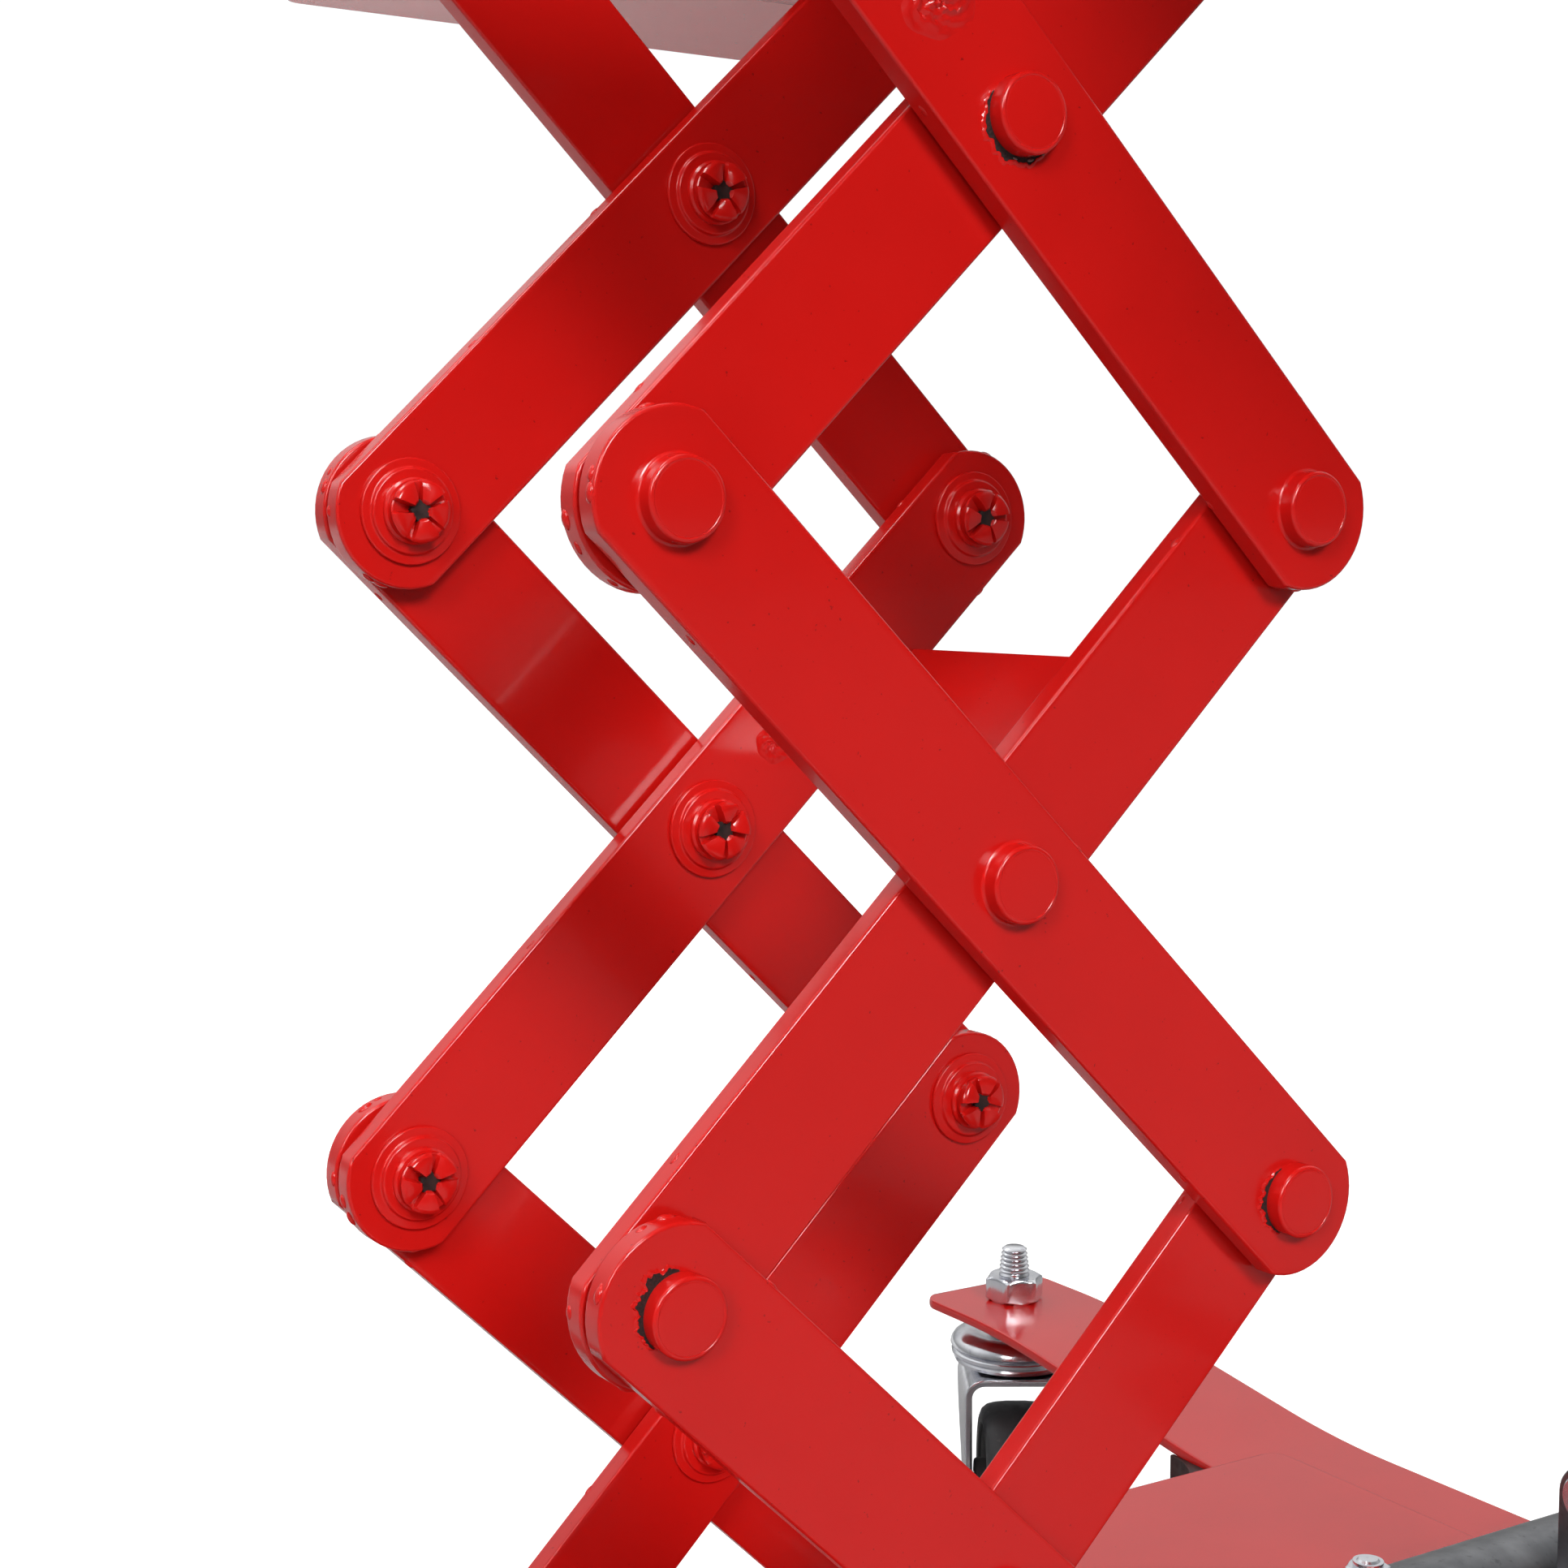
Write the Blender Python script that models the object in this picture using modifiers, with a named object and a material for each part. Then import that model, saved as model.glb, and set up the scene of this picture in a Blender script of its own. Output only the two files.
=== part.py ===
"""Three-stage scissor lift jack on four swivel casters.

Frame: +Z up, origin on the floor under the middle of the base, +X along the
scissors towards the rolling pivots, +Y from the near scissors to the far ones.
Lengths below are in millimetres and angles in degrees; meshes are written in metres.
The near and far scissors are alike: in each plane the bars that rise to the right
are the inner ones and the bars that fall to the right are the outer ones.
"""

import math

import bmesh
import bpy
from mathutils import Matrix, Vector

MM = 0.001
GAP = 0.3                 # clearance left between touching pieces
SIDES = (-1, 1)           # near and far
SIDE_NAMES = {-1: "near", 1: "far"}

# Scissors
HALF_BAR = 110.0          # middle pivot to end pivot
BAR_ANGLE = 44.15         # above the horizontal, as modelled
BAR_WIDTH = 32.0
BAR_THICK = 6.0
BAR_END_R = 17.6          # round end about its pivot
INNER_Y = 57.3            # middle of the inner bars' thickness
OUTER_Y = 64.7            # middle of the outer bars' thickness
PIN_R = 6.0
PIN_HOLE_R = 6.5
HEAD_R = 8.2
HEAD_INNER_Y = 68.0
HEAD_OUTER_Y = 71.8
STAR_R = 7.1
STAR_INNER_Y = 46.5
WASHER_R = 12.1
WASHER_OUTER_Y = 54.0
WASHER_INNER_Y = 51.8
STIFFENER_START = 33.0    # along the bar from the middle pivot
STIFFENER_END = 73.5
STIFFENER_TOP = -11.0     # across the bar from its middle line
STIFFENER_THICK = 3.2
ROUND_STEPS = 12

# Base
LEFT_X = -150.9           # fixed pivots
BASE_PIVOT_Z = 107.7
PLATE_THICK = 4.0
BASE_PLATE_TOP = 88.0
BASE_HALF_X = 223.5
BASE_HALF_Y = 161.0
PLATE_CORNER_R = 6.0
CROSS_X = 228.5           # middle of a cross member, and of its casters
CROSS_HALF_X = 30.0
CROSS_FLAT_Y = 165.0
CROSS_RISE_Y = 290.0
CROSS_TIP_Y = 344.0
TAB_TOP = 101.0
LUG_HALF_X = 15.0
LUG_TOP_R = 13.5

# Rollers and crosshead
ROLLER_R = 19.3
BASE_ROLLER_Y = (40.3, 53.0)
TOP_ROLLER_Y = (69.3, 78.4)
COLLAR_R = 9.0
CROSSHEAD_HALF = (13.0, 38.0, 11.0)

# Deck
PIVOT_TO_PLATE = 19.7     # pivot height above the plate its roller runs on
DECK_X = 21.5             # middle of the deck
DECK_HALF_X = 92.0
DECK_HALF_Y = 340.0
RAIL_X = (-170.5, 81.5)
RAIL_INNER_Y = 53.0
RAIL_LIP_Y = 72.5
RAIL_WEB_Y = 79.0
RAIL_OUTER_Y = 82.0
RAIL_THICK = 3.0

# Cylinder and pump
BARREL_X = (93.8, 247.5)
BARREL_END = 8.0
BARREL_R = 18.0
BARREL_BORE_R = 15.0
GLAND_X = (82.0, 93.5)
ROD_R = 8.0
ROD_HOLE_R = 8.4
PISTON_R = 14.6
PISTON_X = (157.4, 169.4)  # from the crosshead pivot
SADDLES = (((105.5, 123.5), (-24.0, 24.0)), ((203.5, 221.5), (-24.0, 24.0)))
SADDLE_TOP = 104.0
PUMP_LO = (153.5, -70.0, BASE_PLATE_TOP + GAP)
PUMP_HI = (193.5, -18.3, 118.0)
PEDAL_X = 169.5
PEDAL_HALF_X = 5.0
PEDAL_PIVOT = (PEDAL_X, -27.0, 146.0)
PEDAL_HALF_Z = 5.7
PEDAL_EYE_R = 8.0         # round end about its pin
PEDAL_TIP_Y = -334.0
PEDAL_PIN_R = 4.0
PEDAL_PIN_HOLE_R = 4.5
EAR_X = (5.6, 11.6)       # from the pedal's middle plane
EAR_HALF_Y = 9.0
EAR_TOP = 155.0
PAD_HALF_X = 24.0
PAD_LENGTH = 42.0
PAD_THICK = 6.0
PLUNGER_Y = -55.0
PLUNGER_R = 7.0
PLUNGER_BORE_R = 7.5
PLUNGER_Z = (101.0, 140.0)
PLUNGER_BORE_Z = 92.0
PLUNGER_TIP_R = 3.0
VALVE_YZ = (-46.0, 103.0)
VALVE_STEM_R = 4.0
VALVE_STEM = 9.0
VALVE_KNOB_R = 9.5
VALVE_KNOB = 11.0

# Casters
CASTER_Y = 320.0
CASTER_TURN = 32.0        # of the trailing wheel, away from the Y axis
CASTER_TRAIL = 20.0
WHEEL_R = 31.5
WHEEL_HALF = 14.5
WHEEL_BEVEL = 3.0
WHEEL_HUB_R = 9.0
WHEEL_HUB_HALF = 17.5
WHEEL_STEPS = 20
AXLE_R = 4.0
AXLE_HOLE_R = 4.5
AXLE_HEAD_R = 6.5
AXLE_HEAD = 3.8
FORK_OUTER = 22.0
FORK_INNER = 19.0
FORK_CROWN_Z = (72.0, 75.2)
FORK_BACK = -15.0         # from the swivel axis
FORK_FRONT = 25.0
FORK_BACK_FOOT = 62.0     # height where the fork's back edge starts to slope
FORK_EYE_R = 9.0          # round end about the axle
RACE_R = 26.0
LOWER_RACE_Z = (75.0, 82.2)
UPPER_RACE_Z = (82.8, 85.6)
RACE_CAP_R = 19.0
RACE_CAP_TOP = 88.0
STEM_SHOULDER_R = 10.0
STEM_R = 6.0
STEM_TOP = 123.0
KINGPIN_R = 5.0
KINGPIN_HOLE_R = 5.5
KINGPIN_HEAD_R = 8.0
KINGPIN_HEAD_Z = (68.6, 71.7)
NUT_FLATS = 19.0
NUT_HEIGHT = 10.0

# Colour, roughness, metallic
FINISHES = {
    "enamel": ((0.62, 0.011, 0.008), 0.24, 0.0),
    "zinc": ((0.62, 0.65, 0.70), 0.25, 1.0),
    "steel": ((0.45, 0.45, 0.46), 0.38, 1.0),
    "chrome": ((0.80, 0.80, 0.82), 0.10, 1.0),
    "tread": ((0.016, 0.016, 0.018), 0.55, 0.0),
    "rubber": ((0.025, 0.025, 0.025), 0.75, 0.0),
}

# Heights and places that follow from the dimensions above
STAGE = 2 * HALF_BAR * math.sin(math.radians(BAR_ANGLE))
SPAN = 2 * HALF_BAR * math.cos(math.radians(BAR_ANGLE))
RIGHT_X = LEFT_X + SPAN
MIDDLE_X = LEFT_X + SPAN / 2
DECK_PIVOT_Z = BASE_PIVOT_Z + 3 * STAGE
RAIL_TOP = DECK_PIVOT_Z + PIVOT_TO_PLATE + RAIL_THICK
DECK_BOTTOM = RAIL_TOP + GAP
CROSS_TOP = BASE_PLATE_TOP - PLATE_THICK - GAP
LIP_TOP = DECK_PIVOT_Z - PIVOT_TO_PLATE


def left(level):
    """The left end pivot of a level, counted up from the base."""
    return (LEFT_X, 0.0, BASE_PIVOT_Z + level * STAGE)


def right(level):
    """The right end pivot of a level, counted up from the base."""
    return (RIGHT_X, 0.0, BASE_PIVOT_Z + level * STAGE)


def middle(stage):
    """The crossing pivot of a stage, counted up from the base."""
    return (MIDDLE_X, 0.0, BASE_PIVOT_Z + (stage + 0.5) * STAGE)


# Tools

def clear_scene():
    for obj in list(bpy.data.objects):
        bpy.data.objects.remove(obj, do_unlink=True)


def make_collection(name):
    collection = bpy.data.collections.new(name)
    bpy.context.scene.collection.children.link(collection)
    return collection


def make_material(name, finish):
    colour, roughness, metallic = FINISHES[finish]
    material = bpy.data.materials.new(name)
    material.use_nodes = True
    shader = material.node_tree.nodes["Principled BSDF"]
    shader.inputs["Base Color"].default_value = (*colour, 1.0)
    shader.inputs["Roughness"].default_value = roughness
    shader.inputs["Metallic"].default_value = metallic
    material.diffuse_color = (*colour, 1.0)
    return material


def closed_mesh(obj):
    """The object's evaluated mesh, welded and facing outwards; the object is removed."""
    bpy.context.scene.collection.objects.link(obj)
    depsgraph = bpy.context.evaluated_depsgraph_get()
    mesh = bpy.data.meshes.new_from_object(obj.evaluated_get(depsgraph))
    bpy.data.objects.remove(obj, do_unlink=True)
    shape = bmesh.new()
    shape.from_mesh(mesh)
    bmesh.ops.remove_doubles(shape, verts=shape.verts, dist=0.001)
    bmesh.ops.recalc_face_normals(shape, faces=shape.faces)
    shape.to_mesh(mesh)
    shape.free()
    return mesh


def plate(outlines, thick):
    """A flat piece in local XY: the first outline is its edge and the others are holes."""
    curve = bpy.data.curves.new("outline", "CURVE")
    curve.dimensions = "2D"
    curve.fill_mode = "BOTH"
    curve.extrude = thick / 2
    for points in outlines:
        spline = curve.splines.new("POLY")
        spline.points.add(len(points) - 1)
        for point, (x, y) in zip(spline.points, points):
            point.co = (x, y, 0.0, 1.0)
        spline.use_cyclic_u = True
    return closed_mesh(bpy.data.objects.new("outline", curve))


def turned(profile, steps=ROUND_STEPS):
    """A round piece about local Z from (radius, height) points, top to bottom.

    A profile that starts or ends off the axis is closed into a ring.
    """
    mesh = bpy.data.meshes.new("profile")
    verts = [(radius, 0.0, height) for radius, height in profile]
    edges = [(i, i + 1) for i in range(len(profile) - 1)]
    if profile[0][0] > 0:
        edges.append((len(profile) - 1, 0))
    mesh.from_pydata(verts, edges, [])
    obj = bpy.data.objects.new("profile", mesh)
    screw = obj.modifiers.new("turn", "SCREW")
    screw.steps = steps
    screw.render_steps = steps
    screw.use_merge_vertices = True
    screw.merge_threshold = 0.0001
    return closed_mesh(obj)


def block(low, high):
    """A box between two corners."""
    mesh = bpy.data.meshes.new("block")
    shape = bmesh.new()
    bmesh.ops.create_cube(shape, size=1.0)
    low = Vector(low)
    high = Vector(high)
    stretch = Matrix.Diagonal(high - low).to_4x4()
    shape.transform(Matrix.Translation((low + high) / 2) @ stretch)
    shape.to_mesh(mesh)
    shape.free()
    return mesh


def circle(centre, radius, count=ROUND_STEPS):
    return arc(centre, radius, 0.0, 360.0 * (count - 1) / count, count)


def arc(centre, radius, start, end, count):
    """Points of a round stretch between two angles, both ends included."""
    points = []
    for i in range(count):
        angle = math.radians(start + (end - start) * i / (count - 1))
        points.append((centre[0] + radius * math.cos(angle),
                       centre[1] + radius * math.sin(angle)))
    return points


def rounded_rectangle(half_x, half_y, radius):
    points = []
    for start, sx, sy in ((0, 1, 1), (90, -1, 1), (180, -1, -1), (270, 1, -1)):
        centre = (sx * (half_x - radius), sy * (half_y - radius))
        points += arc(centre, radius, start, start + 90, 4)
    return points


def move(x, y, z):
    return Matrix.Translation((x, y, z))


def turn(angle, axis):
    return Matrix.Rotation(math.radians(angle), 4, axis)


STAND = turn(90, "X")             # local XY to world XZ, thickness along Y
FACE_X = turn(90, "Z") @ STAND    # local XY to world YZ, thickness along X
ALONG_X = turn(90, "Y")           # local Z to world X
BARREL_PLACE = move(0, 0, BASE_PIVOT_Z) @ ALONG_X
OUTWARDS = {-1: turn(90, "X"), 1: turn(-90, "X")}   # local Z to world -Y or +Y


class Model:
    """Holds the collections and the pivot empties that the pieces hang on."""

    def __init__(self):
        clear_scene()
        self.parts = make_collection("scissor_lift_jack")
        self.cutters = make_collection("cutters")
        self.pivots = {}

    def pivot(self, name, where, parent=None):
        """An empty on a body's joint axis."""
        empty = bpy.data.objects.new("pivot_" + name, None)
        empty.empty_display_size = 0.02
        self.parts.objects.link(empty)
        self.pivots[name] = (empty, Vector(where))
        start = Vector((0, 0, 0))
        if parent:
            empty.parent, start = self.pivots[parent]
        empty.location = (Vector(where) - start) * MM

    def piece(self, name, body, finish, parts):
        """One named piece of a body, from meshes and their places."""
        empty, origin = self.pivots[body]
        obj = self.gather(name, parts, origin)
        obj.parent = empty
        self.parts.objects.link(obj)
        obj.data.materials.append(make_material(name, finish))
        return obj

    def gather(self, name, parts, origin=Vector((0, 0, 0))):
        shape = bmesh.new()
        for mesh, place in parts:
            copy = mesh.copy()
            copy.transform(Matrix.Scale(MM, 4) @ move(*-origin) @ place)
            shape.from_mesh(copy)
            bpy.data.meshes.remove(copy)
        mesh = bpy.data.meshes.new(name)
        shape.to_mesh(mesh)
        shape.free()
        mesh.shade_smooth()
        mesh.set_sharp_from_angle(angle=math.radians(35))
        return bpy.data.objects.new(name, mesh)

    def boolean(self, target, operation, parts):
        """Cuts parts out of a piece, or joins them to it."""
        tool = self.gather(target.name + "_" + operation.lower(), parts)
        tool.hide_render = True
        tool.display_type = "WIRE"
        self.cutters.objects.link(tool)
        modifier = target.modifiers.new(operation.lower(), "BOOLEAN")
        modifier.operation = operation
        modifier.object = tool


# Shared shapes

def bar_mesh(holes_at=(-HALF_BAR, 0, HALF_BAR)):
    """A scissor bar along local X with round ends and its pin holes."""
    lean = math.degrees(math.asin(BAR_WIDTH / 2 / BAR_END_R))
    edge = arc((HALF_BAR, 0), BAR_END_R, -lean, lean, 6)
    edge += arc((-HALF_BAR, 0), BAR_END_R, 180 - lean, 180 + lean, 6)
    holes = [circle((x, 0), PIN_HOLE_R) for x in holes_at]
    return plate([edge, *holes], BAR_THICK)


def pin_mesh():
    """A pivot pin: head outside, shank, washer and flared end inside; local Z is its distance out."""
    return turned([
        (0, HEAD_OUTER_Y),
        (HEAD_R, HEAD_OUTER_Y),
        (HEAD_R, HEAD_INNER_Y),
        (PIN_R, HEAD_INNER_Y),
        (PIN_R, WASHER_OUTER_Y),
        (WASHER_R, WASHER_OUTER_Y),
        (WASHER_R, WASHER_INNER_Y),
        (STAR_R, WASHER_INNER_Y),
        (STAR_R, STAR_INNER_Y),
        (0, STAR_INNER_Y),
    ])


def roller_mesh(span):
    low, high = span
    return turned([
        (PIN_HOLE_R, high),
        (ROLLER_R, high),
        (ROLLER_R, low),
        (PIN_HOLE_R, low),
    ], 16)


def roller_pin_mesh():
    """The pin that a top roller turns on, fixed in its bar; local Z is its distance out."""
    bar_in = INNER_Y - BAR_THICK / 2
    bar_out = INNER_Y + BAR_THICK / 2
    return turned([
        (0, TOP_ROLLER_Y[1] + 0.2),
        (PIN_R, TOP_ROLLER_Y[1] + 0.2),
        (PIN_R, TOP_ROLLER_Y[0] - GAP),
        (COLLAR_R, TOP_ROLLER_Y[0] - GAP),
        (COLLAR_R, bar_out - 1),
        (PIN_R, bar_out - 1),
        (PIN_R, bar_in + 1),
        (HEAD_R, bar_in + 1),
        (HEAD_R, bar_in - 3.5),
        (0, bar_in - 3.5),
    ])


def lug_edge(up):
    """A rounded ear about the origin that reaches a plate above or below it."""
    foot = -PIVOT_TO_PLATE + GAP
    points = [(-LUG_HALF_X, foot), (LUG_HALF_X, foot)]
    points += arc((0, 0), LUG_TOP_R, 0, 180, 9)
    if up:
        points = [(-x, -z) for x, z in points]
    return points


def lug_outline():
    return plate([lug_edge(up=False)], BAR_THICK)


# Sub-assemblies

def build_base(model):
    model.pivot("base", (0, 0, 0))
    edge = rounded_rectangle(BASE_HALF_X, BASE_HALF_Y, PLATE_CORNER_R)
    sheet = plate([edge], PLATE_THICK)
    height = BASE_PLATE_TOP - PLATE_THICK / 2
    base_plate = model.piece("base_plate", "base", "enamel", [(sheet, move(0, 0, height))])
    foot = BASE_PLATE_TOP - PLATE_THICK / 2
    saddles = [block((x[0], y[0], foot), (x[1], y[1], SADDLE_TOP)) for x, y in SADDLES]
    model.boolean(base_plate, "UNION", [(saddle, move(0, 0, 0)) for saddle in saddles])
    start, end = BARREL_X
    hollow_r = BARREL_R + GAP
    hollow = turned([(0, end + 5), (hollow_r, end + 5), (hollow_r, start - 5), (0, start - 5)], 20)
    model.boolean(base_plate, "DIFFERENCE", [(hollow, BARREL_PLACE)])
    build_cross_members(model)
    for side in SIDES:
        place = move(LEFT_X, side * OUTER_Y, BASE_PIVOT_Z) @ STAND
        lug = model.piece("base_lug_" + SIDE_NAMES[side], "base", "enamel", [(lug_outline(), place)])
        model.boolean(lug, "UNION", [(pin_mesh(), move(*left(0)) @ OUTWARDS[side])])


def build_cross_members(model):
    """Flat under the base plate, rising outwards to a caster tab at each end."""
    half = [(0, CROSS_TOP), (CROSS_FLAT_Y, CROSS_TOP), (CROSS_RISE_Y, TAB_TOP), (CROSS_TIP_Y, TAB_TOP)]
    top = [(-y, z) for y, z in reversed(half[1:])] + half[1:]
    edge = top + [(y, z - PLATE_THICK) for y, z in reversed(top)]
    member = plate([edge], 2 * CROSS_HALF_X)
    hole_r = STEM_R + 2 * GAP
    hole = turned([(0, TAB_TOP + 5), (hole_r, TAB_TOP + 5), (hole_r, TAB_TOP - 9), (0, TAB_TOP - 9)])
    for name, x in (("left", -CROSS_X), ("right", CROSS_X)):
        piece = model.piece("cross_member_" + name, "base", "enamel", [(member, move(x, 0, 0) @ FACE_X)])
        model.boolean(piece, "DIFFERENCE", [(hole, move(x, side * CASTER_Y, 0)) for side in SIDES])


def bar_places(pivot, lean):
    """Near and far places of a pair of bars; lean is +1 where they rise to the right."""
    y = INNER_Y if lean > 0 else OUTER_Y
    slope = turn(-lean * BAR_ANGLE, "Y") @ STAND
    return {side: move(pivot[0], side * y, pivot[2]) @ slope for side in SIDES}


def build_scissors(model):
    """Three crossed stages; each body's pivot is the joint that holds it."""
    model.pivot("lower_inner", left(0), "base")
    model.pivot("lower_outer", middle(0), "lower_inner")
    model.pivot("mid_inner", left(1), "lower_outer")
    model.pivot("mid_outer", middle(1), "mid_inner")
    model.pivot("upper_inner", left(2), "mid_outer")
    model.pivot("upper_outer", middle(2), "upper_inner")
    bar = bar_mesh()
    blind_bar = bar_mesh((-HALF_BAR, 0))
    for stage, stage_name in enumerate(("lower", "mid", "upper")):
        for layer, lean in (("inner", 1), ("outer", -1)):
            body = stage_name + "_" + layer
            for side, place in bar_places(middle(stage), lean).items():
                name = stage_name + "_" + layer + "_bar_" + SIDE_NAMES[side]
                carries_roller = body == "upper_inner"
                piece = model.piece(name, body, "enamel", [(blind_bar if carries_roller else bar, place)])
                if carries_roller:
                    model.boolean(piece, "UNION", [(roller_pin_mesh(), move(*right(3)) @ OUTWARDS[side])])
    build_pins(model)
    build_stiffener(model)


def build_pins(model):
    """Pins, each with its washer, which turn with the outer bars that carry their heads."""
    held = (
        ("lower_left_pin", "lower_outer", left(1)),
        ("lower_middle_pin", "lower_outer", middle(0)),
        ("mid_left_pin", "mid_outer", left(2)),
        ("mid_middle_pin", "mid_outer", middle(1)),
        ("mid_right_pin", "mid_outer", right(1)),
        ("upper_middle_pin", "upper_outer", middle(2)),
        ("upper_right_pin", "upper_outer", right(2)),
    )
    pin = pin_mesh()
    for name, body, where in held:
        for side in SIDES:
            place = move(*where) @ OUTWARDS[side]
            model.piece(name + "_" + SIDE_NAMES[side], body, "enamel", [(pin, place)])


def build_stiffener(model):
    """A cross plate welded between the middle inner bars, near their lower edges."""
    half_y = INNER_Y - BAR_THICK / 2 - GAP
    low = (STIFFENER_START, -half_y, STIFFENER_TOP - STIFFENER_THICK)
    high = (STIFFENER_END, half_y, STIFFENER_TOP)
    strip = block(low, high)
    place = move(*middle(1)) @ turn(-BAR_ANGLE, "Y")
    model.piece("stiffener_plate", "mid_inner", "enamel", [(strip, place)])


def build_crosshead(model):
    """The level block on the lower rolling pivots, with its shaft, rod and rollers."""
    model.pivot("crosshead", right(0), "lower_outer")
    x, y, z = CROSSHEAD_HALF
    head = model.piece("crosshead", "crosshead", "steel", [(block((-x, -y, -z), (x, y, z)), move(*right(0)))])
    collar = (BASE_ROLLER_Y[1] + 2 * GAP, OUTER_Y - BAR_THICK / 2 - GAP)
    half = [
        (0, HEAD_OUTER_Y),
        (HEAD_R, HEAD_OUTER_Y),
        (HEAD_R, HEAD_INNER_Y),
        (PIN_R, HEAD_INNER_Y),
        (PIN_R, collar[1]),
        (COLLAR_R, collar[1]),
        (COLLAR_R, collar[0]),
        (PIN_R, collar[0]),
    ]
    shaft = turned(half + [(radius, -height) for radius, height in reversed(half)])
    model.boolean(head, "UNION", [(shaft, move(*right(0)) @ OUTWARDS[1])])
    low, high = PISTON_X
    rod = turned([
        (0, high),
        (PISTON_R, high),
        (PISTON_R, low),
        (ROD_R, low),
        (ROD_R, x + GAP),
        (0, x + GAP),
    ], 16)
    model.piece("piston_rod", "crosshead", "chrome", [(rod, move(*right(0)) @ ALONG_X)])
    roller = roller_mesh(BASE_ROLLER_Y)
    for side in SIDES:
        name = "base_roller_" + SIDE_NAMES[side]
        model.pivot(name, right(0), "crosshead")
        model.piece(name, name, "steel", [(roller, move(*right(0)) @ OUTWARDS[side])])


def build_cylinder(model):
    start, end = BARREL_X
    barrel = turned([
        (0, end),
        (BARREL_R, end),
        (BARREL_R, start),
        (BARREL_BORE_R, start),
        (BARREL_BORE_R, end - BARREL_END),
        (0, end - BARREL_END),
    ], 20)
    model.piece("cylinder_barrel", "base", "steel", [(barrel, BARREL_PLACE)])
    gland = turned([
        (ROD_HOLE_R, GLAND_X[1]),
        (BARREL_R, GLAND_X[1]),
        (BARREL_R, GLAND_X[0]),
        (ROD_HOLE_R, GLAND_X[0]),
    ], 20)
    model.piece("cylinder_gland", "base", "steel", [(gland, BARREL_PLACE)])


def build_pump(model):
    body = model.piece("pump_block", "base", "steel", [(block(PUMP_LO, PUMP_HI), move(0, 0, 0))])
    y, z = PEDAL_PIVOT[1:]
    ears = []
    for side in SIDES:
        start, end = sorted((side * EAR_X[0], side * EAR_X[1]))
        low = (PEDAL_X + start, y - EAR_HALF_Y, PUMP_HI[2] - 2)
        high = (PEDAL_X + end, y + EAR_HALF_Y, EAR_TOP)
        ears.append((block(low, high), move(0, 0, 0)))
    model.boolean(body, "UNION", ears)
    top = PUMP_HI[2] + 1
    bore = turned([(0, top), (PLUNGER_BORE_R, top), (PLUNGER_BORE_R, PLUNGER_BORE_Z), (0, PLUNGER_BORE_Z)])
    model.boolean(body, "DIFFERENCE", [(bore, move(PEDAL_X, PLUNGER_Y, 0))])
    reach = EAR_X[1] + 2.5
    pin = turned([(0, reach), (PEDAL_PIN_R, reach), (PEDAL_PIN_R, -reach), (0, -reach)])
    model.boolean(body, "UNION", [(pin, move(PEDAL_X, y, z) @ ALONG_X)])
    build_pedal(model)
    build_plunger(model)
    build_valve(model)


def build_pedal(model):
    x, y, z = PEDAL_PIVOT
    model.pivot("pedal", PEDAL_PIVOT, "base")
    tip = PEDAL_TIP_Y - y
    lever_edge = arc((0, 0), PEDAL_EYE_R, -45, 45, 5)
    lever_edge += [(0, PEDAL_HALF_Z), (tip, PEDAL_HALF_Z), (tip, -PEDAL_HALF_Z), (0, -PEDAL_HALF_Z)]
    lever = plate([lever_edge, circle((0, 0), PEDAL_PIN_HOLE_R)], 2 * PEDAL_HALF_X)
    model.piece("pedal_lever", "pedal", "enamel", [(lever, move(x, y, z) @ FACE_X)])
    low_z = z + PEDAL_HALF_Z + GAP
    low = (x - PAD_HALF_X, PEDAL_TIP_Y, low_z)
    pad = block(low, (x + PAD_HALF_X, PEDAL_TIP_Y + PAD_LENGTH, low_z + PAD_THICK))
    model.piece("pedal_pad", "pedal", "rubber", [(pad, move(0, 0, 0))])


def build_plunger(model):
    low, high = PLUNGER_Z
    model.pivot("plunger", (PEDAL_X, PLUNGER_Y, high), "base")
    plunger = turned([
        (0, high),
        (PLUNGER_TIP_R, high),
        (PLUNGER_R, high - 3),
        (PLUNGER_R, low),
        (0, low),
    ])
    model.piece("pump_plunger", "plunger", "chrome", [(plunger, move(PEDAL_X, PLUNGER_Y, 0))])


def build_valve(model):
    y, z = VALVE_YZ
    start = PUMP_HI[0] + GAP
    model.pivot("release_valve", (start, y, z), "base")
    valve = turned([
        (0, VALVE_STEM + VALVE_KNOB),
        (VALVE_KNOB_R - 1, VALVE_STEM + VALVE_KNOB),
        (VALVE_KNOB_R, VALVE_STEM + VALVE_KNOB - 1),
        (VALVE_KNOB_R, VALVE_STEM),
        (VALVE_STEM_R, VALVE_STEM),
        (VALVE_STEM_R, 0),
        (0, 0),
    ])
    model.piece("release_valve", "release_valve", "zinc", [(valve, move(start, y, z) @ ALONG_X)])


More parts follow.
